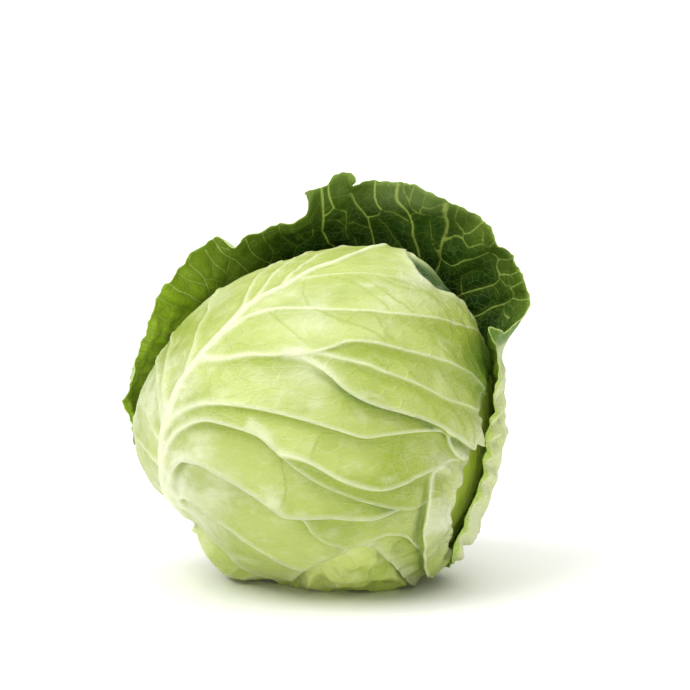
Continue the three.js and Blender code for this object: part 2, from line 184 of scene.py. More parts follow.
class Wire:
    """One value, vector or colour on its way through a material's nodes."""

    def __init__(self, tree, socket):
        self.tree = tree
        self.socket = socket

    def node(self, kind, settings, inputs, output=0):
        """Any node: its kind, its settings, what its sockets hold or take, and what it gives. A
        colour may be its screen code."""
        made = self.tree.nodes.new(kind)
        for name, value in settings.items():
            setattr(made, name, value)
        for name, value in inputs.items():
            if isinstance(value, Wire):
                self.tree.links.new(value.socket, made.inputs[name])
            else:
                made.inputs[name].default_value = dye(value) if isinstance(value, str) else value
        return Wire(self.tree, made.outputs[output])

    def maths(self, operation, *values):
        return self.node("ShaderNodeMath", {"operation": operation}, dict(enumerate(values)))

    def __add__(self, other):
        return self.maths("ADD", self, other)

    def __radd__(self, other):
        return self.maths("ADD", other, self)

    def __sub__(self, other):
        return self.maths("SUBTRACT", self, other)

    def __rsub__(self, other):
        return self.maths("SUBTRACT", other, self)

    def __mul__(self, other):
        return self.maths("MULTIPLY", self, other)

    def __rmul__(self, other):
        return self.maths("MULTIPLY", other, self)

    def rise(self, low, high):
        """0 below low and 1 above high, eased in between; low may be the greater."""
        return self.node("ShaderNodeMapRange", {"interpolation_type": "SMOOTHSTEP"},
                         {0: self, 1: low, 2: high, 3: 0.0, 4: 1.0})

    def tint(self, under, over):
        """One colour laid over another, as thick as this value."""
        return self.node("ShaderNodeMix", {"data_type": "RGBA"}, {0: self, 6: under, 7: over}, 2)

    def shifted(self, amount, scale):
        """These coordinates pushed about by noise."""
        noise = self.node("ShaderNodeTexNoise", {}, {"Vector": self, "Scale": scale}, "Color")
        return self.node("ShaderNodeVectorMath", {"operation": "MULTIPLY_ADD"},
                         {0: noise, 1: (amount,) * 3, 2: self})

    def stretched(self, factors):
        return self.node("ShaderNodeVectorMath", {"operation": "MULTIPLY"}, {0: self, 1: factors})

    def clouds(self, scale, detail=2.0):
        return self.node("ShaderNodeTexNoise", {},
                         {"Vector": self, "Scale": scale, "Detail": detail})

    def cells(self, scale):
        """Distance from the borders of irregular cells, in cell widths."""
        return self.node("ShaderNodeTexVoronoi", {"feature": "DISTANCE_TO_EDGE"},
                         {"Vector": self, "Scale": scale}, "Distance")

    def painted(self, name):
        """A value kept on the piece's own points."""
        return self.node("ShaderNodeAttribute", {"attribute_name": name}, {}, "Fac")


def new_skin(name):
    """A new material, and the place on its piece to start a pattern from."""
    material = bpy.data.materials.new(name)
    material.use_nodes = True
    material.node_tree.nodes.clear()
    place = material.node_tree.nodes.new("ShaderNodeTexCoord")
    return material, Wire(material.node_tree, place.outputs["Object"])


def finish_skin(place, colour, roughness, height, depth, soak=0.0, reach=0.002,
                glow=(1.0, 0.2, 0.1), shine=0.5):
    """Ends a material: colour, roughness, relief of that depth in metres, how much light soaks
    in, how far in metres and in what colour it spreads there, and how much the surface shines."""
    normal = place.node("ShaderNodeBump", {}, {"Height": height, "Distance": depth})
    shader = place.node("ShaderNodeBsdfPrincipled", {}, {
        "Base Color": colour, "Roughness": roughness, "Normal": normal,
        "Subsurface Weight": soak, "Subsurface Scale": reach, "Subsurface Radius": glow,
        "Specular IOR Level": shine,
    })
    output = place.tree.nodes.new("ShaderNodeOutputMaterial")
    place.tree.links.new(shader.socket, output.inputs["Surface"])


def make_piece(name, points, faces, skins, which=None, values=None):
    """A smooth-shaded piece from points in mm about the head's centre."""
    mesh = bpy.data.meshes.new(name)
    mesh.from_pydata(((points + HEAD_CENTRE) * MM).tolist(), [], faces)
    mesh.polygons.foreach_set("use_smooth", np.ones(len(faces), bool))
    for skin in skins:
        mesh.materials.append(skin)
    if which is not None:
        mesh.polygons.foreach_set("material_index", np.array(which, np.int32))
    for key, value in (values or {}).items():
        painted = mesh.attributes.new(key, "FLOAT", "POINT")
        painted.data.foreach_set("value", value.astype(np.float32))
    mesh.update()
    piece = bpy.data.objects.new(name, mesh)
    bpy.context.scene.collection.objects.link(piece)
    return piece


def fit(piece, node):
    """Puts a finished piece in the place of its node, riding on the head."""
    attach(piece, "root")
    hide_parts(node)


def heart_skin():
    material, place = new_skin("heart_leaf")
    streaks = place.stretched((1, 1, 0.3))
    patches = streaks.clouds(70).rise(0.35, 0.7)
    net = 1 - streaks.shifted(0.004, 90).cells(130).rise(0, 0.1)
    # Painted light: these yellow-greens are brighter than the heart's own, so the strip in the
    # shaded gap comes out light.
    colour = patches.tint("#d0e84a", "#deec70")
    colour = (net * 0.25).tint(colour, "#c3d07c")
    height = net * 0.3 + streaks.clouds(260) * 0.6
    finish_skin(place, colour, 0.4 + 0.12 * patches, height, depth=0.0004, soak=0.1, reach=0.003,
                glow=(0.6, 1.0, 0.2))
    return material


HEART_FOLDS = [                                # degrees round and away, down the bare strip
    [(50, 62), (20, 72), (-5, 80), (-40, 72), (-70, 62)],
    [(40, 84), (12, 88), (-12, 90), (-38, 86), (-60, 78)],
]

ball = bmesh.new()
bmesh.ops.create_icosphere(ball, subdivisions=6, radius=1)
heart_dirs = unit(np.array([v.co for v in ball.verts]))
heart_faces = [[v.index for v in face.verts] for face in ball.faces]
ball.free()
stem_dir = direction(STEM_ROUND, STEM_AWAY)
stem_seat = head_radius(stem_dir[None])[0] + HEART_LIFT
turn, away = bearings(heart_dirs)
bare_strip = band(turn, -58, -40, 24, 40) * band(away, 58, 72, 96, 112)
stand = head_radius(heart_dirs) + HEART_LIFT + HEART_SWELL * bare_strip
stand += 0.35 * ripple(heart_dirs * 85, 26, 3)
for fold in HEART_FOLDS:
    line = unit(smooth_line(headings(fold), 0.03))
    off, side, along = beside(line, heart_dirs)
    swell = band(along, 0, 0.35, 0.8, 1)
    stand += HEART_FOLD * swell * np.exp(-off / np.where(side < 0, 2.2, 9))
facing = heart_dirs @ stem_dir
stand = np.minimum(stand, np.where(facing > 0.5, stem_seat / np.maximum(facing, 0.5), np.inf))
stand = above_floor(heart_dirs, stand, 2)
heart = make_piece("heart_leaves", heart_dirs * stand[:, None], heart_faces, [heart_skin()])
fit(heart, "heart")

# ---- Stem stump -----------------------------------------------------------------------------
# The woody stem, cut square below the lowest leaf. Its cut face is a pale pith with a ring of
# fibre ends round it, dished and a little browned where it dried.

STEM_RADIUS = 15.0                             # mm
STEM_PROUD = 5.0                               # mm, cut face beyond the head's skin
STUMP_SIDES = 144
FIBRE_ENDS = 22


def stump_skin():
    material, place = new_skin("cut_stem")
    grain = place.clouds(240, 4)
    rind = place.painted("rind")
    fibre = place.painted("fibre")
    browned = (place.clouds(110, 3) * place.painted("dried")).rise(0.3, 0.62)
    colour = grain.tint("#d6dcae", "#eceed2")
    colour = (fibre * 0.7).tint(colour, "#a9b374")
    colour = rind.tint(colour, "#b9c986")
    colour = (browned * 0.8).tint(colour, "#9a7f4c")
    finish_skin(place, colour, 0.62 + 0.2 * grain, grain + fibre, depth=0.0005, soak=0.08,
                reach=0.003)
    return material


stem_end = head_radius(stem_dir[None])[0] + STEM_PROUD
stem_root = stem_seat + 0.4
profile = smooth_line([                        # mm off the stem's line, mm from the centre
    (0.01, stem_root), (STEM_RADIUS - 1, stem_root), (STEM_RADIUS + 1.2, stem_root + 1.4),
    (STEM_RADIUS + 0.2, stem_root + 5), (STEM_RADIUS - 0.4, stem_end - 1.4),
    (STEM_RADIUS - 1.5, stem_end - 0.1), (STEM_RADIUS * 0.72, stem_end - 0.7),
    (STEM_RADIUS * 0.4, stem_end - 1.1), (0.01, stem_end - 1.3),
], 0.55)
stem_across = unit(np.cross(stem_dir, ACROSS))
stem_up = np.cross(stem_dir, stem_across)
turns = np.linspace(0, 2 * math.pi, STUMP_SIDES, endpoint=False)
stump_points = []
stump_rind = []
stump_fibre = []
for radius, height in profile:
    level = (height - stem_root) / (stem_end - stem_root)
    wall = smooth(radius, STEM_RADIUS - 3, STEM_RADIUS - 1)
    ring = np.exp(-((radius - STEM_RADIUS * 0.66) / 1.5) ** 2)
    bundles = np.maximum(0, np.cos(turns * FIBRE_ENDS + 0.8 * np.sin(turns * 5))) ** 2
    bumps = 0.25 * np.sin(turns * 7 + level * 2) + 0.18 * np.sin(turns * 19 - level * 3)
    around = radius + wall * bumps
    lengthwise = height + 0.25 * ring * bundles * (level > 0.8)
    stump_points.append(
        around[:, None] * (np.cos(turns)[:, None] * stem_across + np.sin(turns)[:, None] * stem_up)
        + lengthwise[:, None] * stem_dir)
    stump_rind.append(np.full(STUMP_SIDES, wall * (level < 0.93)))
    stump_fibre.append(ring * bundles * (level > 0.8))
rows = len(profile)
stump_faces = []
for row in range(rows - 1):
    for k in range(STUMP_SIDES):
        a = row * STUMP_SIDES + k
        b = row * STUMP_SIDES + (k + 1) % STUMP_SIDES
        stump_faces.append([a, b, b + STUMP_SIDES, a + STUMP_SIDES])
stump_faces.append(list(range(STUMP_SIDES))[::-1])
stump_faces.append([(rows - 1) * STUMP_SIDES + k for k in range(STUMP_SIDES)])
stump = make_piece("stem_stump_cut", np.vstack(stump_points), stump_faces, [stump_skin()], None, {
    "rind": np.concatenate(stump_rind), "fibre": np.concatenate(stump_fibre),
    "dried": np.repeat(smooth(profile[:, 1], stem_end - 3, stem_end - 1), STUMP_SIDES),
})
shell = bmesh.new()
shell.from_mesh(stump.data)
bmesh.ops.recalc_face_normals(shell, faces=shell.faces)
shell.to_mesh(stump.data)
shell.free()
fit(stump, "stem_stump")

# ---- Lower wrapper leaf ---------------------------------------------------------------------
# Comes out of the stem and round the bottom of the head, crumpled by the head's weight, which
# has pressed the flat that the head rests on. Thick and white near the stem, thin further out.

LOWER_LIFT = -3.2
LOWER_BULGE = 4.2                              # mm more where nothing covers it
LOWER_LOBE = 4.5                               # mm more where it bulges out, low on the left
LOWER_CRUMPLE, LOWER_WRINKLE = 1.5, 0.8        # mm, its creases and the finer ones
BLADE = 0.9                                    # mm, thickness of a leaf, and of its very edge
EDGE = 0.5
NET = 1.2                                      # mm between the points of a leaf's net
PLEAT_SLOPE = 15.0                             # mm, how far a pleat's long side runs
CREST = 1.0                                    # mm, how round its crest is
FLARE_RUN = 0.14                               # share of a vein over which it narrows from its root
MARGIN = 4.0                                   # degrees over which ridges and folds fade at an edge

# A vein: its line, ridge height and half width in mm, the pleat it carries and how fast that
# drops, how far its crest leans over the drop, how white it is (a dark thread if below 0),
# and how much it widens at its root.
Vein = namedtuple("Vein", "line ridge width pleat drop tuck white flare")


def crumple(places, length, seed, stretch=(1, 1, 1)):
    """Random waves with narrow crests, as in creased leaf, about -1 to 1."""
    return 1.1 - 2.4 * np.hypot(ripple(places, length, seed, stretch), 0.12)


def vein(line, ridge=0.8, width=1.1, pleat=0.0, drop=3.0, tuck=0.0, white=0.8, flare=0.0):
    line = unit(smooth_line(line, 2.4 / FRONT_DEPTH))
    return Vein(line, ridge, width, pleat, drop, tuck, white, flare)


def on_head(points):
    """Places in mm about the head's centre, from degrees round and away and mm of lift."""
    turn, away, lift = np.array(points, float).T
    dirs = direction(turn, away)
    return dirs * (head_radius(dirs) + lift)[:, None]


def leaning(edge, lift, reach):
    """A blade that stands off the head by its lift and leans out to its edge near it."""
    edge_dirs = unit(edge)
    extra = np.linalg.norm(edge, axis=1) - head_radius(edge_dirs) - lift(*bearings(edge_dirs))

    def blade(dirs):
        stand = np.empty(len(dirs))
        near = np.empty(len(dirs))
        for start in range(0, len(dirs), 4000):
            some = slice(start, start + 4000)
            gap = np.degrees(np.sqrt(np.maximum(2 - 2 * dirs[some] @ edge_dirs.T, 0)))
            share = 1 / (gap + 0.05) ** 3
            near[some] = gap.min(1)
            ease = reach(*bearings(dirs[some])) if callable(reach) else reach
            stand[some] = (share @ extra) / share.sum(1) * np.exp(-near[some] / ease)
        return head_radius(dirs) + lift(*bearings(dirs)) + stand, near

    return blade


def inside(polygon, points):
    """Which points lie within a closed outline."""
    within = np.zeros(len(points), bool)
    for (x1, y1), (x2, y2) in zip(polygon, np.roll(polygon, -1, 0)):
        crosses = (y1 > points[:, 1]) != (y2 > points[:, 1])
        with np.errstate(divide="ignore", invalid="ignore"):
            at = (x2 - x1) * (points[:, 1] - y1) / (y2 - y1) + x1
        within ^= crosses & (points[:, 0] < at)
    return within


def even(value):
    """The same value all over a leaf."""
    return lambda turn, *others: value + 0 * turn


def coarser_past(limit):
    """A net half as fine beyond that many degrees away."""
    return lambda turn, away: np.where(away < limit, 1, 2)


def spaced(points, gap, taken=()):
    """The points that keep a gap to the taken ones and to those before them."""
    tree = kdtree.KDTree(len(taken) + len(points))
    for i, spot in enumerate(taken):
        tree.insert((*spot, 0), i)
    for i, spot in enumerate(points):
        tree.insert((*spot, 0), len(taken) + i)
    tree.balance()
    kept = np.ones(len(taken) + len(points), bool)
    for i in range(len(taken), len(kept)):
        for _, other, _ in tree.find_range((*points[i - len(taken)], 0), gap):
            if other < i and kept[other]:
                kept[i] = False
                break
    return points[kept[len(taken):]]


def leaf_net(middle, edge_dirs, veins, coarse, step):
    """Directions and triangles of a leaf's net: even, so many times coarser away from view, and
    with rows of points along its veins."""
    pole = direction(*middle)
    side = unit(np.cross(pole, FORWARD + 0.3 * ACROSS))
    other = np.cross(pole, side)

    def flattened(dirs):
        spread = np.sqrt(2 / (1 + dirs @ pole)) * FRONT_DEPTH
        return np.stack([spread * (dirs @ side), spread * (dirs @ other)], 1)

    def raised(flat):
        flat = flat / FRONT_DEPTH
        square = (flat ** 2).sum(1, keepdims=True)
        level = np.sqrt(np.maximum(1 - square / 4, 0))
        return (1 - square / 2) * pole + level * (flat[:, :1] * side + flat[:, 1:] * other)

    edge = flattened(edge_dirs)
    rows = []
    for v in veins:
        if v.ridge + v.pleat > 0.3:
            run = unit(smooth_line(v.line, step / FRONT_DEPTH))
            sideways = unit(np.cross(np.gradient(run, axis=0), run)) / FRONT_DEPTH
            rows += [run, unit(run + v.width * sideways), unit(run - v.width * sideways)]
    marks = np.empty((0, 2))
    if rows:
        marks = flattened(np.vstack(rows))
        marks = marks[inside(edge, marks)]
        marks = spaced(marks, 0.62 * step, edge)
    low, high = edge.min(0), edge.max(0)
    tall = int((high[1] - low[1]) / step / 0.866) + 2
    wide = int((high[0] - low[0]) / step) + 2
    j, i = (k.ravel() for k in np.mgrid[0:tall, -(tall // 2):wide])
    grid = np.stack([low[0] + step * (i + j / 2), low[1] + step * 0.866 * j], 1)
    held = (grid > low).all(1) & (grid < high).all(1)
    i, j, grid = i[held], j[held], grid[held]
    every = coarse(*bearings(raised(grid))).astype(int)
    held = (i % every == 0) & (j % every == 0)
    grid = grid[held]
    grid = grid[inside(edge, grid)]
    near = np.vstack([edge, marks])
    grid = spaced(grid, 0.62 * step, near)
    spots = np.vstack([near, grid])
    found = delaunay_2d_cdt([Vector(p) for p in spots], [], [list(range(len(edge)))], 1, 1e-5)
    flat = np.array([tuple(p) for p in found[0]])
    return raised(flat), np.array([f for f in found[2] if len(f) == 3])


def relief(dirs, veins):
    """What the veins do at each spot: ridge, fold and tuck, gap to the next vein in mm, colours."""
    ridge = np.zeros(len(dirs))
    fold = np.zeros(len(dirs))
    tuck = np.zeros((len(dirs), 3))
    white = np.zeros(len(dirs))
    thread = np.zeros(len(dirs))
    fold_shade = np.zeros(len(dirs))
    crease_shadow = np.zeros(len(dirs))
    gap = np.full(len(dirs), 60.0)
    near_side = 1 - smooth(bearings(dirs)[1], 74, 94)
    for v in veins:
        off, side, along = beside(v.line, dirs)
        width = v.width * (1 - 0.6 * along) * (1 + v.flare * np.exp(-along / FLARE_RUN))
        bell = np.exp(-(off / width) ** (4 if v.width > 3 else 2))
        ridge = np.maximum(ridge, v.ridge * (1 - 0.5 * along) * bell)
        white = np.maximum(white, v.white * (1 - 0.35 * along) * bell ** 2.2)
        thread = np.maximum(thread, -v.white * bell)
        gap = np.minimum(gap, off)
        if v.pleat:
            swell = band(along, 0, 0.3, 0.85, 1) * near_side
            steep = side < 0
            down = np.hypot(off, CREST) - CREST
            fold += v.pleat * swell * np.exp(-down / np.where(steep, v.drop, PLEAT_SLOPE))
            # Painted shade: deeper green in the hollow below a pleat's crest.
            dent = np.exp(-((off - v.drop - 1) / (v.drop + 2)) ** 2)
            fold_shade = np.maximum(fold_shade, steep * swell * min(1, v.pleat / 3.5) * dent)
            # Painted shadow: a thin dark line just under a crest that leans over.
            under = np.exp(-((off - 0.8 * v.tuck) / 1.5) ** 2) * np.clip(v.tuck / 3 - 0.7, 0, 1)
            crease_shadow = np.maximum(crease_shadow, steep * swell * under)
            lean = v.tuck * swell * np.exp(-(off / 2.1) ** 2)
            heading = np.gradient(v.line, axis=0)[np.minimum(
                (along * (len(v.line) - 1)).astype(int), len(v.line) - 1)]
            tuck += lean[:, None] * unit(np.cross(heading, dirs))
    return ridge, fold, tuck, gap, {
        "vein": white, "thread": thread, "fold_shade": fold_shade, "crease_shadow": crease_shadow, "gap": gap}


def grow_leaf(name, skins, middle, edge, lift, veins, floor, coarse, swell, reach=6, puff=0.0,
              sink=0.0, step=NET, values=None):
    """A leaf as one closed blade: both faces from one net, joined round the edge. Ridges stand
    on the outer face and sink into the inner one by a share of their height; pleats and swell
    carry both, and the blade puffs inwards between its veins."""
    blade = leaning(edge, lift, reach)
    dirs, net = leaf_net(middle, unit(edge), veins, coarse, step)
    base, near = blade(dirs)
    ridge, fold, tuck, gap, marks = relief(dirs, veins)
    fade = smooth(near, 0, MARGIN)
    base = base + fold * (0.35 + 0.65 * fade) - puff * smooth(gap, 0, 6) * fade
    base = base + swell(dirs * FRONT_DEPTH, *bearings(dirs), near)
    outer = dirs * above_floor(dirs, base + ridge * fade, floor)[:, None] + tuck * fade[:, None]
    a, b, c = (outer[net[:, k]] for k in range(3))
    facing = np.cross(b - a, c - a)
    if np.einsum("ij,ij->i", facing, a).sum() < 0:
        net, facing = net[:, ::-1], -facing
    normals = np.zeros_like(outer)
    for k in range(3):
        np.add.at(normals, net[:, k], facing)
    thick = EDGE + (BLADE - EDGE + (1 - sink) * ridge) * fade
    points = np.vstack([outer, outer - unit(normals) * thick[:, None]])
    count = len(dirs)
    used = {(int(p), int(q)) for f in net for p, q in zip(f, np.roll(f, -1))}
    rim = [[q, p, p + count, q + count] for p, q in used if (q, p) not in used]
    faces = net.tolist() + (net[:, ::-1] + count).tolist() + rim
    which = [0] * len(net) + [len(skins) - 1] * len(net) + [0] * len(rim)
    turn, away = bearings(dirs)
    marks["edge"] = np.exp(-near / 2.2)
    marks |= {key: value(turn, away, near) for key, value in (values or {}).items()}
    marks = {key: np.concatenate([value, value]) for key, value in marks.items()}
    return make_piece(name, points, faces, skins, which, marks)


def pale_skin(name, green, deep, dark, pale, rib, shine=0.5):
    """Skin of a wrapper leaf: waxy pale green with whitish waxy blotches and painted highlights,
    painted shade in deeper green below its pleats and where it is marked green, dark in the creases
    under their crests, with white veins and a faint fine net between them."""
    material, place = new_skin(name)
    flow = place.stretched((0.5, 1, 1))
    patches = flow.clouds(26, 3).rise(0.34, 0.68)
    mottle = flow.clouds(120, 4)
    net = 1 - flow.shifted(0.006, 70).cells(150).rise(0, 0.09)
    fine_net = 1 - flow.shifted(0.003, 160).cells(420).rise(0, 0.12)
    seen_net = net * place.clouds(45, 1).rise(0.42, 0.62)
    fold_shade = place.painted("fold_shade")
    colour = patches.tint(green, deep)
    colour = (mottle.rise(0.5, 0.8) * 0.45).tint(colour, pale)
    blotch = flow.shifted(0.01, 60).clouds(75, 5).rise(0.4, 0.6)
    # Waxy bloom and painted highlights, in blotches.
    bloom_and_sheen = place.painted("whiteness")
    colour = (bloom_and_sheen * 0.45 + bloom_and_sheen * blotch * 0.75).tint(colour, pale)
    # Painted shade: deeper green in the hollows below the pleats.
    colour = (fold_shade * 0.95).tint(colour, deep)
    colour = (place.painted("thread") * (0.5 + 0.5 * blotch)).tint(colour, deep)
    # Greener patches, and painted shade: past 0.5 it turns the shade colour.
    green_and_shade = place.painted("green")
    colour = (green_and_shade * 0.8).tint(colour, deep)
    colour = green_and_shade.rise(0.5, 1.9).tint(colour, dark)
    # Painted shadow: a dark line under the leaning crests.
    colour = (place.painted("crease_shadow") * 0.65).tint(colour, dark)
    colour = (seen_net * 0.08 + fine_net * 0.06).tint(colour, rib)
    plain = 1 - green_and_shade.rise(0.3, 1.3)
    colour = (place.painted("vein") * (0.4 + 0.6 * plain)).tint(colour, rib)
    colour = (place.painted("edge") * plain * 0.4).tint(colour, rib)
    height = net * 0.2 + fine_net * 0.12 + flow.clouds(260, 3) * 0.6
    finish_skin(place, colour, 0.31 + 0.16 * mottle, height, depth=0.0007, soak=0.1,
                glow=(0.7, 1.0, 0.2), shine=shine)
    return material


LOWER_LIMIT = np.array([                       # degrees down round the bottom, degrees away
    (0, 66), (40, 73), (53, 88), (60, 84), (62.2, 60), (66.7, 49.2), (71.4, 45.8), (79.4, 49.5),
    (91.6, 57), (99, 76.6), (106, 78.5), (116, 76), (126, 70.5), (136.5, 76.4), (141, 111),
    (180, 120), (240, 118), (285, 102), (298, 90), (324, 83), (346, 87), (360, 66),
])


def bare(turn, away):
    """How bare the bottom of the head is beyond the front leaf's lower edge."""
    edge = np.interp(np.mod(-turn, 360), LOWER_LIMIT[:, 0], LOWER_LIMIT[:, 1])
    return smooth(away - edge, 2, 14)


LOWER_EDGE = [                                 # degrees round, degrees away, mm of lift
    (229, 111, -1), (222, 104, 0.5), (219.5, 96, 1.5), (219, 87, 0.5), (221, 79, -1.5),
    (226, 70, -2.8), (236, 60, -3.2), (252, 48, -3.2),
    (272, 42, -3.2), (292, 44, -3.2), (305, 56, -3.2), (309, 74, -3.2), (308, 92, -2),
    (300, 110, 0), (285, 124, 0), (268, 132, 0), (252, 134, 0), (241, 131, -1), (239, 122, -2),
]
LOWER_VEINS = [
    vein(headings([(231, 112), (238, 98), (250, 86), (268, 80), (285, 82)]),
         ridge=1.6, width=4, white=0.5),
]
LOWER_VEINS += [vein(headings(line), ridge=0.6, width=1.2, white=0.35) for line in (
    [(240, 96), (244, 76), (252, 62)], [(252, 86), (260, 70), (272, 58)],
    [(256, 85), (266, 98), (274, 116)], [(270, 80), (282, 66), (296, 60)],
    [(274, 80), (288, 92), (298, 104)],
)]


def lower_swell(places, turn, away, near):
    """Crumpled where it is bare and bears on the table, smooth where the front leaf holds it."""
    loose = bare(turn, away)
    soft = 0.3 * ripple(places, 18, 5) + 0.15 * ripple(places, 7, 6)
    lobe = band(np.mod(turn, 360), 222, 233, 238, 254) * band(away, 66, 80, 104, 116)
    creases = LOWER_CRUMPLE * crumple(places, 21, 7) + LOWER_WRINKLE * crumple(places, 12, 9)
    return soft + LOWER_LOBE * lobe + loose * (1 - lobe) * creases


lower = grow_leaf(
    "lower_wrapper_blade",
    [pale_skin("lower_leaf", "#d3dc80", "#abbf4a", "#647d1c", "#e1e6b0", "#e6e9c0")],
    (268, 92), smooth_line(on_head(LOWER_EDGE), 1.6, closed=True),
    lambda turn, away: LOWER_LIFT + LOWER_BULGE * bare(turn, away), LOWER_VEINS,
    floor=0, coarse=coarser_past(106), swell=lower_swell,
    values={
        "whiteness": lambda turn, away, near:
            0.35 * (1 - smooth(np.abs(np.mod(turn, 360) - 226), 5, 18)),
        # Painted shade, deeper green, in the pocket under the front leaf's lower edge.
        "green": lambda turn, away, near: 0.8 * band(np.mod(turn, 360), 229, 234, 240, 256),
    })
fit(lower, "lower_wrapper_leaf")

# ---- Crown wrapper leaf ---------------------------------------------------------------------
# Lies behind the front leaf, from the stem over the back of the head to the crown, where a
# strip of it shows past the front leaf's margin. That strip is painted dark green as shade, the
# rest pale.

CROWN_LIFT = -1.5
CROWN_DIP, CROWN_STAND = 2.4, 1.8              # mm, behind the front leaf's edge, over the rim
CROWN_EDGE = [                                 # degrees round, degrees away
    (34, 80), (44, 68), (54, 65), (64, 66), (76, 76), (95, 88), (130, 98), (160, 108), (185, 118),
    (205, 128), (212, 138), (225, 144), (250, 150), (300, 142), (340, 125), (10, 106), (25, 92),
]
crown_midrib = headings([(225, 146), (225, 165), (70, 172), (68, 140), (64, 110), (58, 84)])
CROWN_VEINS = [vein(crown_midrib, ridge=1.4, width=4, white=1.0)] + [
    vein(headings(line), ridge=0.7, width=1.3)
    for line in ([(66, 158), (20, 140), (358, 122)], [(65, 140), (36, 124), (18, 104)],
                 [(62, 122), (46, 108), (34, 92)], [(67, 160), (110, 138), (126, 110)],
                 [(66, 140), (88, 120), (98, 98)], [(63, 120), (72, 104), (78, 86)])
]


def crown_swell(places, turn, away, near):
    """Dips behind the front leaf's edge at the crown and stands up again over the rim."""
    dip = -CROWN_DIP * band(away, 68, 72, 77, 82)
    stand = CROWN_STAND * band(away, 79, 84, 100, 112) * smooth(turn, 44, 54)
    return 0.3 * ripple(places, 18, 8) + band(turn, 36, 44, 60, 68) * (dip + stand)


crown_edge = [(turn, away, CROWN_LIFT) for turn, away in CROWN_EDGE]
crown_edge = smooth_line(on_head(crown_edge), 1.9, closed=True)
crown = grow_leaf(
    "crown_wrapper_blade",
    [pale_skin("crown_leaf", "#b4c278", "#38561a", "#2a4410", "#d3dcb4", "#e6e9cb", 0.12)],
    (75, 128), crown_edge,
    even(CROWN_LIFT), CROWN_VEINS, floor=5, coarse=coarser_past(100), swell=crown_swell,
    values={"whiteness": even(0.25),
            # The strip by the front leaf's margin, painted dark green as shade.
            "green": lambda turn, away, near:
                1.2 * (1 - smooth(away, 79.5, 84) * smooth(turn, 44, 58))
                * (1 - smooth(away, 80, 104))})
fit(crown, "crown_wrapper_leaf")

# ---- Front wrapper leaf ---------------------------------------------------------------------
# The pale leaf over the whole near side. Its broad white midrib climbs from the stem up the left
# and over the top; side veins carry pleats across to the ruffled right edge, which is turned up
# into a flap low on the right.

FRONT_LIFT = 0.4
FRONT_CRUMPLE = 1.4                            # mm, creases low on the right
EYE = 2000.0                                   # mm from the head's middle to the eye
FRONT_EDGE_CROWN = [                           # degrees round, degrees away, mm of lift
    (62.5, 90, 1), (60.5, 79, 1.2), (57, 71.8, 1.3), (52, 68.5, 1), (47, 69.5, 0.9), (43, 72.5, 1),
    (40.5, 76, 1), (38, 81, 0.9), (35, 86, 0.8), (30, 89, 0.8), (20, 89, 0.8), (15, 88.5, 0.8),
]
FRONT_EDGE_RIGHT = [                           # mm across, mm up, mm of lift
    (88.2, 19.5, 0.8), (86.7, 13.8, 1.6), (85.2, 9.7, 2.6), (83.2, 4.6, 3.6), (82, 1.5, 2.8),
    (83.8, -1.5, 2.2), (84.2, -6.6, 2.2), (86.6, -11, 3.4), (85.4, -14.8, 3.8),
    (80.6, -13.8, 3), (79, -17, 2), (77.5, -23, 2.2), (75.5, -30.1, 1.8), (74, -34.6, 2.4),
    (71.8, -37.2, 3.6), (71.6, -43.4, 4), (70.2, -46.4, 3.6), (68.1, -48.5, 3), (68.7, -53.6, 3.4),
    (70.5, -57.6, 4.2), (69.9, -61.7, 3.4), (69.2, -66.8, 3.6), (70.6, -70.9, 4),
]
FRONT_EDGE_REST = [                            # degrees round, degrees away, mm of lift
    (-47, 88, 4), (-50, 89, 2.8), (-53, 88, 2.5), (-55, 89, 3.4), (-57.5, 88, 4), (-60, 84, 3),
    (-62.2, 60, 2), (-66.7, 49.2, 1.5), (-71.4, 45.8, 1.5), (-79.4, 49.5, 1.5),
    (-91.6, 57, 1.5), (-96.5, 69.2, 1), (-99, 76.6, 0.5), (-106, 78.5, 0.5), (-116, 76, 0.5),
    (-126, 70.5, 0.8), (-136.5, 76.4, 0.8), (-138.5, 86, 0.8), (-139.5, 100, 0.8),
    (-141, 111, 0.5), (-150, 116, 0.5), (-162, 120, 0.5), (-180, 120, 0.5), (-210, 120, 0.5),
    (-240, 118, 0.5), (-265, 112, 0.5), (-285, 102, 0.5),
]


def on_front(points):
    """Directions of the spots on the near half that the eye sees at mm across and up."""
    across, up = np.array(points, float).T
    turn = np.degrees(np.arctan2(up, across))
    rim = rim_radius(turn)
    near = np.zeros(len(across))
    for _ in range(12):
        r = np.hypot(across, up) * (1 - near / EYE)
        flat = (r / FRONT_DEPTH) ** 2
        s = np.sqrt(np.minimum(1, flat / np.maximum(1e-6, 1 - (r / rim) ** 2 + flat)))
        away = np.degrees(np.arcsin(s))
        dirs = direction(turn, away)
        near = head_radius(dirs) * (dirs @ FORWARD)
    return dirs


def frayed(edge, outward, sideways, length, seed):
    """An edge made uneven by that many mm out and across, in waves of that length."""
    out = ripple(edge, length, seed)[:, None] * outward * unit(edge)
    return edge + out + ripple(edge, length * 1.3, seed + 1)[:, None] * sideways * FORWARD


right_edge = np.array(FRONT_EDGE_RIGHT)
right_dirs = on_front(right_edge[:, :2] * (1 - right_edge[:, 2:] / HEAD_OUTLINE[0]))
front_edge = smooth_line(np.vstack([
    on_head(FRONT_EDGE_CROWN), right_dirs * (head_radius(right_dirs) + right_edge[:, 2])[:, None],
    on_head(FRONT_EDGE_REST),
]), 1.0, closed=True)
front_edge = frayed(front_edge, 0.2, 0.3, 9, 17)

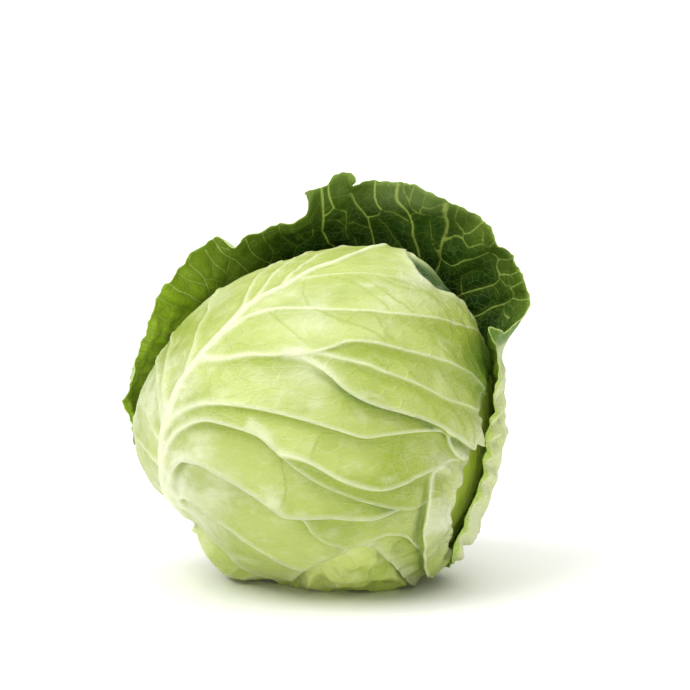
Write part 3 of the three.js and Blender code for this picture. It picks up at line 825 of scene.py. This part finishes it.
FRONT_MIDRIB = [                               # mm across, mm up
    (-63.8, -54.1), (-69.9, -45.9), (-74.5, -32.1), (-74.6, -17), (-72.9, -2.5), (-69.9, 7.7),
    (-65.8, 17.3), (-60.2, 25.5), (-53.6, 34.7), (-46.9, 41.8), (-39.8, 48.5), (-33.1, 55.1),
    (-26.5, 60.2), (-17.3, 64.8), (-9.2, 69.4), (1, 75), (10.2, 78), (18.9, 81.6), (29.1, 84.7),
]
PLEATED = [                    # ridge, half width, pleat, drop, tuck, white, then the line in mm
    (0.4, 0.9, 0.5, 3, 0, 0.5, [
        (-12.8, 67.3), (-7.7, 69.4), (2.5, 71.4), (22.9, 72.4), (43.4, 69.4), (63.8, 62.2)]),
    (0.6, 0.9, 1.5, 3, 0.3, 0.75, [
        (-52, 35.7), (-45.4, 41.8), (-39.8, 45.9), (-33.1, 50), (-19.4, 54.1), (-6.1, 54.6),
        (7.7, 53.6), (39.8, 51.5), (67.3, 47.4), (78.5, 43.4), (90, 37)]),
    (0.7, 1.1, 2.6, 2.4, 1.6, 0.8, [
        (-56.1, 29.6), (-43.4, 29.6), (-33.1, 31.6), (-16.3, 32.1), (1, 33.7), (9.2, 35.7),
        (14.8, 37.7), (26.5, 37.7), (39.8, 34.7), (60.2, 29.1), (69.4, 25.5), (78.5, 18.9),
        (84.2, 9.2), (88, 4)]),
    (0.6, 1.0, 2.6, 2.2, 1.6, 0.65, [
        (-9.7, 32.6), (-1, 32.6), (12.8, 29.6), (26.5, 26.5), (33.1, 23.5), (49, 17.3),
        (62.2, 10.2), (71.9, 7.1), (80.1, 3.1), (90, 1)]),
    (0.8, 1.1, 5.6, 1.5, 5.8, 0.75, [
        (-12.8, 32.1), (-1, 28.6), (10.7, 22.4), (17.3, 17.3), (29.6, 11.2), (43.4, 7.1),
        (57.1, 2), (69.4, -5.6), (79, -13.3), (88, -20)]),
    (0.7, 1.2, 3.2, 2.0, 2.4, 0.8, [
        (-74, -12), (-71.8, -3.5), (-66.8, 2.5), (-59.2, 6.1), (-50, 8.2), (-37.7, 8.2),
        (-22.9, 6.1), (-6.1, 2), (11.2, -3.1), (25, -7.1), (33.1, -6.1), (53.6, -4.1),
        (63.8, -5.1), (67.3, -10.7), (70.4, -16.3), (77.5, -21.4), (86, -31)]),
    (0.8, 1.3, 3.6, 1.9, 2.8, 0.85, [
        (-73.6, -26), (-72.4, -17), (-67.3, -7.1), (-59.2, -1), (-52, 1), (-44.9, 0), (-29.6, -4.6),
        (-16.3, -10.7), (-2.5, -17.3), (12.8, -25.5), (22.9, -29.1), (30.6, -30.6),
        (39.8, -29.6), (53.6, -24.5), (60.2, -23.5), (72, -21)]),
    (0.7, 1.0, 4.6, 1.5, 5.2, 0.6, [
        (-30, -2.5), (-22, -6.5), (-15, -12), (-7.7, -18.4), (2.5, -25.5), (12.8, -30.1),
        (22.9, -33.7), (33.1, -36.7), (43.4, -38.8), (50, -39.3), (60, -38.8)]),
    (0.8, 1.3, 5.0, 1.5, 5.0, 0.85, [
        (-71.6, -39), (-71.4, -29), (-67.8, -20.4), (-64.3, -17.3), (-58.1, -17.3), (-52, -18.9),
        (-37.7, -27), (-26.5, -33.7), (-19.4, -38.8), (-12.8, -42.8), (7.7, -43.4),
        (19.4, -44.4), (33.1, -43.9), (50.5, -42.3)]),
    (0.7, 1.0, 3.8, 1.6, 3.8, 0.6, [
        (-19.4, -38.8), (-9.2, -45.9), (-2.5, -49.5), (2.5, -54.6), (8.2, -58.1), (16.3, -60.2),
        (20.9, -59.7), (33.1, -55.1), (43.4, -54.6), (50, -58.1), (52, -61.7), (54.1, -67.3)]),
    (0.8, 1.3, 4.4, 1.6, 4.0, 0.85, [
        (-67.2, -47), (-67.4, -38.5), (-61.7, -37.2), (-51, -43.9), (-36.7, -55.1), (-22.9, -63.8),
        (-16.3, -67.8), (-6.1, -71.9), (-1.5, -72.4), (6.1, -70.4), (12.8, -67.8),
        (18.4, -64.3), (26, -61)]),
    (0.5, 0.8, 5.6, 1.5, 5.8, 0.8, [
        (63.2, -24.5), (60.2, -27.5), (57.6, -37.2), (56.1, -47.9), (55.1, -52), (55.6, -57.6),
        (57.1, -69.4), (58.1, -73.4), (61.7, -74.5)]),
]
LEFT_SIDE_VEINS = [
    [(-66.8, 15.3), (-64.3, 21.4), (-60.2, 36.2), (-59.2, 41.8), (-54.1, 52.5), (-53, 57.1)],
    [(-72.4, 3.6), (-74, 7.7), (-74, 31.6), (-72.4, 38.2), (-73.4, 42.3)],
    [(-73.4, -4.6), (-77, 11.2), (-79, 21.4), (-79, 29.6)],
    [(-75, -11.7), (-80.6, -6.1), (-83.6, 1), (-85.7, 4.1)],
    [(-75.5, -24), (-84.2, -17.3), (-88.2, -12.8), (-90.8, -9.2)],
    [(-39.8, 48.5), (-34.7, 56.6), (-33.7, 61.2), (-29.1, 69.4)],
    [(-30.6, 57.1), (-28.6, 60.2), (-18.9, 72.9)],
    [(-15.8, 65.8), (-12.8, 70.4), (-2.5, 78.5)],
]
FRONT_VEINS = [vein(np.vstack([headings([(219, 113)]), on_front(FRONT_MIDRIB),
                               headings([(69, 80), (67, 88)])]), ridge=2.2, width=4.8, white=1.0)]
FRONT_VEINS += [vein(on_front(line), ridge, width, pleat, drop, tuck, white, flare=2.6)
                for ridge, width, pleat, drop, tuck, white, line in PLEATED]
for line in LEFT_SIDE_VEINS:
    line = on_front(line)
    onward = unit(line[-1] + np.array([[1.2], [2.4]]) * (line[-1] - line[-2]))
    FRONT_VEINS.append(vein(np.vstack([line, onward]), 1.3, 1.5, white=0.6, flare=1.6))
# How white: waxy bloom, with a painted highlight high in the middle and painted light over the
# right side and the flap.
BLOOM_AND_HIGHLIGHT = [                                      # mm across, mm up, mm wide, how white
    (58, 70, 13, 0.8), (-3, 46, 15, 0.45), (-75, 8, 22, 0.75), (-66, -50, 20, 0.8),
    (-2, 22, 16, 0.4), (35, 56, 16, 0.3), (62, 20, 12, 0.25), (62, -50, 12, 0.7),
    (70, -18, 11, 0.8), (79, -3, 6, 0.7), (-50, 60, 14, 0.3), (-47, -32, 16, 0.6),
    (-60, -18, 13, 0.9), (-66, -34, 14, 0.9),
]
# How green: greener patches, and along the right edge, where it turns from the light, painted
# shade.
GREEN_AND_SHADE_PATCHES = [                              # mm across, mm up, mm wide, how green
    (-33, -8, 15, 0.5), (10, -84, 26, 0.4), (14, -63, 10, 0.7), (38, -12, 12, 0.45),
    (88, 27, 21, 1.8), (84, 13, 13, 1.6), (76, 37, 9, 0.9), (-14, 8, 12, 0.3),
    (-34, -48, 12, 0.35), (20, 10, 10, 0.3), (-60, 44, 9, 0.35), (-34, 33, 14, 0.35),
    (0, -50, 9, 0.4), (8, -12, 8, 0.5), (53, 18, 7, 0.6), (63, 66, 8, 0.8),
    (-15, -17, 6, 0.6),
]


def patches_of(spots, turn, away):
    """How deep in any of some round soft spots on the near side."""
    level = np.sin(np.radians(away)) * rim_radius(turn)
    turn = np.radians(turn)
    depth = 0 * turn
    for across, up, wide, strength in spots:
        off = np.hypot(level * np.cos(turn) - across, level * np.sin(turn) - up)
        depth = np.maximum(depth, strength * np.exp(-(off / wide) ** 2))
    return depth * (away < 100)


def rungs(first, second, shares, slant, seed):
    """Crooked thin veins from spots along one side vein to the next one, that much further on."""
    draw = np.random.default_rng(seed)
    made = []
    for share in shares:
        a = first[int(share * (len(first) - 1))]
        reach = np.clip(share + slant + draw.uniform(-0.06, 0.06), 0, 1)
        b = second[int(reach * (len(second) - 1))]
        bends = a + (b - a) * np.array([[0.3], [0.65]]) + draw.normal(size=(2, 3)) * 0.02
        made.append(unit(np.vstack([a, bends, b])))
    return made


FRONT_CROSSED = [                              # side veins with thin ones between, and where
    (0, 1, (0.1, 0.24, 0.36, 0.5, 0.6, 0.72), 0.24),
    (1, 2, (0.2, 0.33, 0.45, 0.54, 0.62, 0.7, 0.78), 0.17),
    (2, 4, (0.46, 0.56, 0.68, 0.8), 0.12), (5, 6, (0.42, 0.6), 0.12), (6, 8, (0.45,), 0.1),
]
for k, (first, second, shares, slant) in enumerate(FRONT_CROSSED):
    first = unit(smooth_line(on_front(PLEATED[first][-1]), 0.01))
    second = unit(smooth_line(on_front(PLEATED[second][-1]), 0.01))
    FRONT_VEINS += [vein(line, ridge=0.31, width=0.55, white=-0.75)
                    for line in rungs(first, second, shares, slant, 60 + k)]


def front_swell(places, turn, away, near):
    """Gently uneven, crumpled low on the right, and ruffled along the turned-up flap."""
    across = places @ ACROSS
    up = places @ UPWARD
    low = smooth(across, 14, 44) * (1 - smooth(up, -62, -46)) * (1 - smooth(away, 92, 100))
    flap = smooth(across, 50, 56) * band(up, -78, -70, -26, -14) * (1 - smooth(away, 92, 100))
    right = smooth(across, 40, 70) * (1 - smooth(away, 86, 96)) * (1 - flap)
    soft = 0.5 * ripple(places, 24, 11, (1.8, 1, 1)) + 0.18 * ripple(places, 8, 12, (1.6, 1, 1))
    soft = soft + right * 0.5 * ripple(places, 11, 16, (1.5, 1, 1))
    soft = soft + low * FRONT_CRUMPLE * crumple(places, 19, 13)
    return soft + flap * (ripple(places, 12, 14) + 0.4 * ripple(places, 6, 15))


front = grow_leaf(
    "front_wrapper_blade",
    [pale_skin("front_leaf", "#b4c166", "#93a62e", "#4b6d06", "#d8ddba", "#e6e9c8")],
    (120, 6), front_edge, even(FRONT_LIFT), FRONT_VEINS, floor=0.6, coarse=coarser_past(93),
    swell=front_swell, puff=0.35, values={
        # Whiteness: waxy bloom and pale margins, with painted highlights and painted light.
        "whiteness": lambda turn, away, near:
            np.maximum(patches_of(BLOOM_AND_HIGHLIGHT, turn, away), 0.2 * (1 - smooth(near, 0, 5))),
        # Green: greener patches, and painted shade along the right edge.
        "green": lambda turn, away, near: patches_of(GREEN_AND_SHADE_PATCHES, turn, away),
    })
fit(front, "front_wrapper_leaf")

# ---- Loose outer leaf -----------------------------------------------------------------------
# The oldest leaf, cupped behind the head: dark green inside with a pale net of veins, greyish
# and much paler outside. It leans out above and to the left, and wraps round the right side.

LOOSE_LIFT = 5.2
LOOSE_NET = 0.95                               # mm between the points of its net
LOOSE_LEAN, HUG_LEAN = 15, 4                   # degrees over which it leans out, at most and least
LOOSE_WAVE = 2.0                               # mm, waves towards its edge
STRIP_STAND = 2.4                              # mm more where it hugs the right side
STRIP_FOLD = 12                                # mm from one ruffle of the strip to the next
LOBE_DENT = 4                                  # mm, where the lobe at the top is folded in
LOOSE_EDGE_SEEN = [                            # mm across, mm up, mm forward
    (-92.3, -14.3, -10), (-93.8, -5.1, -12), (-97.4, 5.1, -16), (-96.9, 9.2, -12),
    (-93.8, 17.9, -8), (-92.3, 21.9, -10), (-91.3, 30.6, -14), (-86.2, 44.9, -10),
    (-81.1, 58.1, -15), (-77, 65.8, -12), (-74, 68.3, -9), (-71.9, 72.4, -12),
    (-69.4, 75, -15), (-65.8, 77, -12), (-63.8, 82.1, -9), (-59.7, 85.2, -12), (-50, 90.8, -18),
    (-43.4, 86.2, -11), (-40.3, 86.2, -9), (-35.7, 90.8, -14), (-28.1, 93.3, -18),
    (-17.9, 97.9, -14), (-13.8, 97.4, -10), (-5.6, 101.5, -11), (-3.6, 108.1, -7),
    (-5.1, 112.7, -5), (-3.6, 114.2, -5), (3.1, 116.3, -8), (7.1, 119.9, -12),
    (11.2, 122.9, -10), (19.4, 122.9, -2), (21.4, 120.4, 2), (19.2, 116.6, -6),
    (24.5, 118.3, -18), (33.7, 119.3, -21), (43.4, 118.3, -19), (51, 116.8, -14),
    (63.8, 111.2, -12), (76.5, 104.5, -17), (85.5, 100.3, -14), (91, 93.3, -9),
    (93.3, 87, -10), (99.5, 82.6, -15), (102, 77, -10), (106.1, 69.9, -5), (108.6, 63.2, -6),
    (110.2, 57.1, -2), (107.1, 51, 0), (102, 46.4, 8), (97.5, 42.5, 20), (95, 44, 32), (90, 46, 38),
    (89.2, 43, 41), (91.5, 38, 40), (93.8, 32, 37), (94.3, 25, 37), (93.3, 17.9, 38),
    (91.8, 10, 39), (91.8, 2.6, 40), (89.3, -1.5, 41), (90, -4.6, 41), (86.5, -8.7, 42),
    (87.2, -12, 42), (87.9, -16.8, 41), (85.7, -21.9, 41), (85.4, -29.1, 41), (82.3, -38.3, 41),
    (78.3, -48.5, 42), (74.5, -57.6, 39), (72.4, -61.7, 37), (71, -66, 34), (70.6, -74, 27),
]
LOOSE_EDGE_BEHIND = [                          # degrees round, degrees away, mm from the centre
    (-47, 84, 103.6), (-50, 98, 102), (-58, 112, 100), (-72, 124, 97), (-92, 136, 93),
    (-115, 143, 90), (-135, 143, 88.5), (-155, 138, 90.5), (-166, 125, 93), (-170, 109, 95),
]


def seen(points):
    """Places in mm about the head's centre, from mm across, up and forward as the eye sees them."""
    across, up, near = np.array(points, float).T[:, :, None]
    shrink = 1 - near / EYE
    return across * shrink * ACROSS + up * shrink * UPWARD + near * FORWARD


behind = np.array(LOOSE_EDGE_BEHIND)
loose_edge = frayed(smooth_line(np.vstack([
    seen(LOOSE_EDGE_SEEN), direction(behind[:, 0], behind[:, 1]) * behind[:, 2:],
]), 1.1, closed=True), 0.5, 1.1, 12, 27)
loose_edge = frayed(loose_edge, 0.4, 0.7, 5, 33)


def loose_reach(turn, away):
    """Degrees from its edge over which the leaf leans out: fewer where it hugs the right side."""
    return LOOSE_LEAN - (LOOSE_LEAN - HUG_LEAN) * band(turn, -80, -60, 18, 34)


loose_blade = leaning(loose_edge, even(LOOSE_LIFT), loose_reach)


def on_loose(points):
    """Directions of the spots inside the cup that the eye sees at mm across and up."""
    across, up = np.array(points, float).T
    turn = np.degrees(np.arctan2(up, across))
    nearest, furthest = np.full(len(across), 84.0), np.full(len(across), 175.0)
    for _ in range(26):
        away = (nearest + furthest) / 2
        dirs = direction(turn, away)
        places = dirs * loose_blade(dirs)[0][:, None]
        wide = np.hypot(places @ ACROSS, places @ UPWARD) / (1 - places @ FORWARD / EYE)
        beyond = wide > np.hypot(across, up)
        nearest, furthest = np.where(beyond, away, nearest), np.where(beyond, furthest, away)
    return direction(turn, (nearest + furthest) / 2)


INSIDE_VEINS = [               # ridge, half width, white, then the lines in mm across and up
    (0.8, 1.0, 0.9, [
        [(-3.6, 114.8), (-1, 109.1), (3.6, 103), (3.1, 94.4), (7.7, 86.7), (13.3, 78)],
        [(40.8, 118.3), (41.8, 111.2), (46.9, 104), (49.5, 97), (49.5, 91.8), (53, 80.1)],
    ]),
    (0.6, 0.75, 0.75, [
        [(6.6, 119.9), (6.6, 115.8), (9.7, 108.1)], [(9.7, 108.1), (7.1, 105.6), (3.6, 103)],
        [(17.3, 114.2), (19.4, 109.1), (26.5, 102), (28.1, 93.8), (30.6, 84.2)],
        [(28.1, 117.8), (30.6, 112.2), (34.2, 107.1)],
        [(34.2, 107.1), (33.7, 104.5), (31.1, 102.5), (26.5, 102)],
        [(65.3, 87.2), (67.8, 88.7), (72.4, 90.3), (76.5, 89.2), (79.6, 86.2)],
        [(65.3, 78.5), (70.4, 76.5), (78, 79.6), (87.7, 82.6)],
        [(87.7, 82.6), (92.3, 79.6), (92.3, 75), (94.4, 68.8), (89.8, 65.3), (77.5, 62.2),
         (68.3, 58.1)],
        [(76.5, 48.5), (84.7, 50.5), (88.7, 53), (95.9, 55.6)],
        [(-56.1, 84.2), (-52, 77.5), (-45.4, 70.9), (-45.4, 66.3)],
        [(-49.5, 90.3), (-49.5, 85.2), (-41.8, 79), (-32.1, 70.4)],
        [(-35.7, 89.2), (-32.1, 82.6), (-27, 79), (-23.5, 77), (-23.5, 72)],
        [(-63.8, 81.1), (-63.8, 77), (-57.1, 69.4), (-55.1, 58.6)],
        [(-75, 67.3), (-69.9, 63.2), (-63.8, 60.7), (-57.6, 57.1)],
        [(-9.7, 85.7), (-5.1, 89.8), (-2, 93.3), (-1.5, 97.9)],
    ]),
    (0.4, 0.6, 0.5, [
        [(9.7, 108.1), (15.8, 106.1)],
        [(15.8, 106.1), (16.3, 102), (16.3, 93.3), (19.4, 88.7), (21.9, 84.2)],
        [(3.6, 102.5), (7.7, 101), (16.3, 97.9)], [(17.3, 101.5), (22.9, 96.4), (27.5, 94.4)],
        [(34.2, 107.1), (45.4, 99.5), (49, 96.9)],
        [(31.1, 102.5), (34.7, 97.9), (39.3, 90.8), (44.4, 84.2)],
        [(54.1, 105.6), (55.1, 107.1), (58.6, 106.6), (66.3, 107.6)],
        [(49, 97), (49, 102), (54.1, 103.5), (64.3, 98.4)],
        [(54.1, 103.5), (55.1, 107.1), (56.6, 112.2)],
        [(57.1, 98.9), (58.1, 91.8), (60.7, 84.2), (63.8, 78)],
        [(49, 107.6), (47.9, 110.7), (45.4, 113.7), (46.4, 116.8)],
        [(54.1, 103.5), (49, 107.6), (51, 115.8)],
        [(76.5, 89.2), (76.5, 92.3), (72.9, 94.9), (70.9, 99.5), (70.4, 105.6)],
        [(76.5, 92.3), (80.1, 93.3), (87.2, 98.4)],
        [(87.7, 82.6), (88.2, 85.2), (85.7, 86.7), (79.6, 86.2)], [(88.2, 85.2), (92.3, 86.7)],
        [(85.7, 86.7), (86.2, 92.3), (84.2, 95.9)],
        [(94.4, 70.9), (100, 70.9), (102, 72.9)], [(92.8, 78.5), (99.5, 79), (101, 81.6)],
        [(89.8, 65.3), (93.8, 61.2)],
        [(75.5, 62.7), (75, 66.8), (75.5, 70.9), (82.6, 74)],
        [(94.9, 68.8), (97.4, 65.8), (100, 64.3), (100, 58.6), (95.9, 55.6)],
        [(100, 64.3), (104, 66.3), (106.6, 68.3)], [(100, 58.6), (104, 57.6), (109.7, 57.6)],
        [(95.9, 55.6), (96.4, 51.5), (98.9, 48.5)],
        [(-43.9, 85.2), (-43.9, 78), (-45.4, 70.9)],
        [(-28.1, 92.8), (-25, 87.2), (-21.9, 83.1), (-23.5, 77)],
        [(-35.7, 85.7), (-31.1, 89.2)], [(-17.9, 97.4), (-16.3, 90.3), (-9.7, 85.7)],
        [(-9.7, 85.7), (-11.2, 82.1), (-10.2, 76)], [(-9.7, 94.4), (-6.1, 91.3), (-3.1, 91.3)],
        [(-57.1, 69.4), (-52, 68.8), (-46, 66.3)],
        [(-69.9, 74), (-68.3, 70.4), (-63.8, 68.3), (-57.1, 66.8)],
        [(-81.1, 58.6), (-74, 56.1), (-66.8, 53.6)],
        [(-84.2, 49.5), (-80.6, 50), (-74, 45.4)], [(-87.2, 42.3), (-84.2, 42.3), (-75, 39.8)],
        [(-89.8, 34.7), (-80.1, 34.2)], [(-92.3, 27), (-81.6, 25.5)],
        [(-93.8, 17.9), (-88.7, 18.9), (-83, 17.9)], [(-96.4, 8.7), (-91.3, 9.7), (-85, 8.2)],
        [(-74, 56.1), (-77.5, 53), (-80.6, 50), (-81.5, 46), (-80, 42), (-84.5, 38), (-84, 34.4),
         (-86.5, 31), (-86, 26.3), (-88.5, 22.5), (-88.7, 18.9), (-90.5, 14), (-91.3, 9.7),
         (-92.5, 4), (-91, -3)],
        [(-90.5, 14), (-94.5, 13)], [(-88.5, 22.5), (-92, 23)], [(-86.5, 31), (-90.5, 31)],
        [(-84.5, 38), (-87.8, 39)], [(-63.8, 68.3), (-66, 63), (-69.9, 63.2)],
        [(-52, 68.8), (-52, 77.5)], [(-49.5, 85.2), (-43.9, 85.2)],
    ]),
]
LOOSE_TIP = [(57.6, 66.3), (61.7, 72.9), (63.8, 81.6), (64.3, 87.2), (66.3, 94.4), (65, 99),
             (66.3, 107.1)]
loose_midrib = np.vstack([
    headings([(225, 144), (225, 165), (60, 178), (56, 152), (51, 128)]),
    on_loose(LOOSE_TIP),
])
BACK_VEINS = [                 # degrees round and away, then where it comes into view, in mm
    ([(225, 172), (200, 150), (186, 124), (176, 106)], None),
    ([(58, 166), (115, 152), (135, 136)], (-57.6, 57.1)),
    ([(58, 156), (100, 140)], (-45.4, 66.3)), ([(57, 145), (80, 140)], (13.3, 78)),
    ([(55, 134), (68, 126)], (30.6, 84.2)), ([(56, 130), (46, 123)], (68.3, 58.1)),
    ([(57, 136), (34, 120)], (76.5, 48.5)), ([(58, 150), (20, 130), (0, 108), (-8, 76)], None),
    ([(58, 160), (-5, 150), (-30, 128), (-36, 92)], None),
]
rib_line = unit(smooth_line(loose_midrib, 0.01))
back_lines = []
for line, end in BACK_VEINS:
    line = headings(line)
    if end:
        line = np.vstack([line, on_loose([end])])
    line[0] = rib_line[np.argmax(rib_line @ line[0])]
    back_lines.append(unit(smooth_line(line, 0.01)))
LOOSE_VEINS = [vein(loose_midrib, ridge=3.0, width=3.4, white=1.0)]
LOOSE_VEINS += [vein(line[::8], ridge=1.4, width=1.8, white=0.9) for line in back_lines]
for ridge, width, white, lines in INSIDE_VEINS:
    for line in lines:
        outward = math.hypot(*line[0]) < math.hypot(*line[-1])
        LOOSE_VEINS.append(vein(on_loose(line if outward else line[::-1]), ridge, width,
                                white=white))
for k, (first, second) in enumerate(zip(back_lines, back_lines[1:])):
    LOOSE_VEINS += [vein(line, ridge=0.6, width=1.0, white=0.55)
                    for line in rungs(first, second, (0.07, 0.18, 0.29, 0.4, 0.5), 0, 40 + k)]
LOBE_FOLD = unit(smooth_line(on_loose([(16.3, 116), (16.8, 108), (18.2, 98), (17.8, 88)]), 0.02))


def inside_skin():
    """Dark green, with thin yellow-green veins and a faint finer net, painted light on the left and
    down the right-side strip, and a painted sheen along the top right edge.
    """
    material, place = new_skin("outer_leaf_inside")
    patches = place.clouds(38, 3).rise(0.35, 0.7)
    mottle = place.clouds(240, 3)
    net = 1 - place.shifted(0.004, 120).cells(230).rise(0, 0.1)
    near_vein = 1 - place.painted("gap").rise(0.3, 4)
    painted_light = place.painted("light")
    colour = patches.tint("#173302", "#234507")
    # Painted light: brighter yellow-green on the left, where light shines through, down the
    # right-side strip and near the edge.
    colour = painted_light.tint(colour, patches.tint("#a8c832", "#bad64c"))
    colour = (net * 0.2).tint(colour, "#86a142")
    colour = (near_vein * 0.22).tint(colour, "#64811f")
    vein_green = painted_light.tint("#a2b654", "#d6e298")
    colour = place.painted("vein").rise(0.1, 0.65).tint(colour, vein_green)
    colour = (place.painted("edge").rise(0.5, 1) * 0.4).tint(colour, "#8faa48")
    # Painted sheen along the top right edge.
    colour = place.painted("bloom_and_sheen").tint(colour, "#b9c4a0")
    height = net * -0.4 + place.clouds(500) * 0.4
    finish_skin(place, colour, 0.46 + 0.18 * mottle, height, depth=0.0005, soak=0.06,
                glow=(0.4, 1.0, 0.1), shine=0.24)
    return material


def outside_skin():
    """A pale waxy coat over green, with raised whitish veins and a brighter green band along the
    turned-out edge; the curled lip at the top is painted, with painted shade in its hollow and a
    painted highlight on its rim.
    """
    material, place = new_skin("outer_leaf_outside")
    patches = place.clouds(30, 3).rise(0.3, 0.7)
    mottle = place.clouds(200, 3)
    net = 1 - place.shifted(0.003, 130).cells(210).rise(0, 0.13)
    light = place.painted("pale")
    colour = patches.tint("#86a356", "#9cb56c")
    colour = light.tint(colour, patches.tint("#c6d286", "#dae1ae"))
    colour = (mottle * 0.3).tint(colour, "#dfe4be")
    colour = (net * 0.25).tint(colour, "#dfe5c0")
    colour = place.painted("vein").rise(0.1, 0.8).tint(colour, "#e8ebd0")
    curl_shade = place.painted("curl_shade")
    edge = place.painted("edge")
    colour = (edge.rise(0.2, 0.7) * light * 0.85).tint(colour, "#a3bf42")
    # Painted shade in the curled lip's hollow, then a painted highlight on its rim.
    colour = curl_shade.tint(colour, "#5f7f16")
    colour = (curl_shade * edge.rise(0.8, 0.94) * 0.6).tint(colour, "#c0cf7c")
    height = net * 0.7 + place.clouds(450) * 0.4
    finish_skin(place, colour, 0.48 + 0.16 * mottle, height, depth=0.0005, soak=0.12, reach=0.003,
                glow=(0.7, 1.0, 0.3), shine=0.35)
    return material


def strip_share(turn, away):
    """1 where the leaf hugs the right side, 0 elsewhere."""
    return band(turn, -75, -55, 10, 26) * (1 - smooth(away, 98, 118))


def loose_painted_light(turn, away, near):
    """Painted light on the inside: brighter on the left and down the right-side strip, and a little
    near the edge.
    """
    left = 0.9 * smooth(np.mod(turn, 360), 96, 148) * (1 - smooth(away, 112, 130))
    right = 0.45 * strip_share(turn, away)
    return np.maximum(np.maximum(left, right), (1 - smooth(near, 1, 7)) * (away < 120) * 0.13)


def loose_pale(turn, away, near):
    """The outside is palest where it wraps the right side."""
    right = band(turn, -100, -55, 6, 30) * (1 - smooth(away, 84, 150))
    return np.maximum(right, (1 - smooth(near, 0, 5)) * 0.3)


def loose_swell(places, turn, away, near):
    """Puckered, waved towards its edge where it stands out, ruffled down the right side."""
    strip = strip_share(turn, away)
    free = (1 - strip) * (1 - smooth(near, 6, 26))
    soft = 0.5 * ripple(places, 15, 21) + 0.2 * ripple(places, 6, 22)
    wave = free * LOOSE_WAVE * ripple(places, 22, 23) * smooth(near, 0, 4)
    down = smooth(-turn, 8, 24)
    run = (places @ UPWARD + 0.4 * (places @ ACROSS)) / STRIP_FOLD
    run = run + 0.35 * ripple(places, 30, 24)
    folds = 1.8 * np.sin(2 * math.pi * run) + 0.9 * ripple(places, 8, 25)
    ruffle = STRIP_STAND + 0.6 * down + folds * (1 - 0.85 * smooth(near, 6, 20))
    off, side, along = beside(LOBE_FOLD, unit(places))
    dent = LOBE_DENT * np.exp(-off / np.where(side > 0, 9, 0.8)) * band(along, 0, 0.1, 0.85, 1)
    return soft + wave - dent + strip * ruffle * smooth(near, -1, 3)


def loose_coarse(turn, away):
    """Finest where the inside and the strip show, coarser round the back."""
    shown = (turn > -75) & (turn < 178) & (away < 118)
    return np.where(shown, 1, 2)


loose = grow_leaf(
    "loose_outer_blade", [outside_skin(), inside_skin()], (50, 150), loose_edge,
    even(LOOSE_LIFT), LOOSE_VEINS, floor=1.5, coarse=loose_coarse, swell=loose_swell,
    reach=loose_reach, puff=1.7, sink=0.35, step=LOOSE_NET, values={
        "light": loose_painted_light, "pale": loose_pale,
        # The curled lip at the top of the right-side strip: painted shade in its hollow, painted
        # highlight on its rim.
        "curl_shade": lambda turn, away, near: band(turn, 17, 22, 28, 30) * (1 - smooth(near, 2, 4)),
        # A painted sheen along the top right edge.
        "bloom_and_sheen": lambda turn, away, near:
            0.1 * np.exp(-((turn - 66) / 9) ** 2) * (1 - smooth(near, 2, 7)) * (away < 125),
    })
fit(loose, "loose_outer_leaf")

# ---- Table, light and camera ----------------------------------------------------------------
# A white sweep under soft studio light: brightest overhead, a broad soft window from the upper
# left and front, which leaves a short shadow on the right, and a fill from beside the eye.


def table_skin():
    material, place = new_skin("white_table")
    grain = place.clouds(40, 3)
    colour = (grain * 0.5).tint("#fbfbfa", "#f8f8f6")
    finish_skin(place, colour, 0.7 + 0.1 * grain, grain, depth=0.0001, shine=0.2)
    return material


SWEEP = 9.0                                    # m, half width of the table top
SKY_STRENGTH = 1.72
table_mesh = bpy.data.meshes.new("white_table")
table_mesh.from_pydata([(x, y, 0) for x, y in ((-SWEEP, -SWEEP), (SWEEP, -SWEEP),
                                               (SWEEP, SWEEP), (-SWEEP, SWEEP))],
                       [], [(0, 1, 2, 3)])
table_mesh.materials.append(table_skin())
table = bpy.data.objects.new("white_table", table_mesh)
bpy.context.scene.collection.objects.link(table)

studio = bpy.data.worlds.new("studio")
studio.use_nodes = True
sky_tree = studio.node_tree
sky = Wire(sky_tree, sky_tree.nodes.new("ShaderNodeTexCoord").outputs["Generated"])
height = sky.node("ShaderNodeSeparateXYZ", {}, {"Vector": sky}, "Z")
shade = height.rise(0.3, 0.9).tint((0.06, 0.06, 0.045, 1), (1, 1, 0.99, 1))
sky_tree.links.new(shade.socket, sky_tree.nodes["Background"].inputs["Color"])
sky_tree.nodes["Background"].inputs["Strength"].default_value = SKY_STRENGTH
bpy.context.scene.world = studio
bpy.context.scene.view_settings.view_transform = "Standard"


def soft_light(name, strength, spread, toward):
    """Even light from a broad patch of the studio, that many degrees across."""
    light = bpy.data.lights.new(name, "SUN")
    light.energy = strength
    light.angle = math.radians(spread)
    light_holder = bpy.data.objects.new(name, light)
    light_holder.rotation_euler = Vector(toward).to_track_quat("Z", "Y").to_euler()
    bpy.context.scene.collection.objects.link(light_holder)


soft_light("window", 1.5, 40, (-0.52, -0.28, 0.77))
soft_light("fill", 0.95, 36, (-0.05, -0.99, 0.04))

EYE_ACROSS, EYE_UP = 15.3, 35.7                # mm, where the eye looks, off the head's middle
FIELD = 351.9                                  # mm across the picture at the head's middle
SENSOR = 36.0                                  # mm across the camera's sensor
camera = bpy.data.cameras.new("eye")
camera.sensor_width = SENSOR
camera.lens = SENSOR * EYE / FIELD
camera.clip_end = 100
holder = bpy.data.objects.new("eye", camera)
place = HEAD_CENTRE + EYE_ACROSS * ACROSS + EYE_UP * UPWARD + EYE * FORWARD
holder.matrix_world = Matrix.Translation(Vector(place * MM)) @ Matrix.Rotation(
    math.pi / 2 - FRONT_TIP, 4, "X")
bpy.context.scene.collection.objects.link(holder)
bpy.context.scene.camera = holder
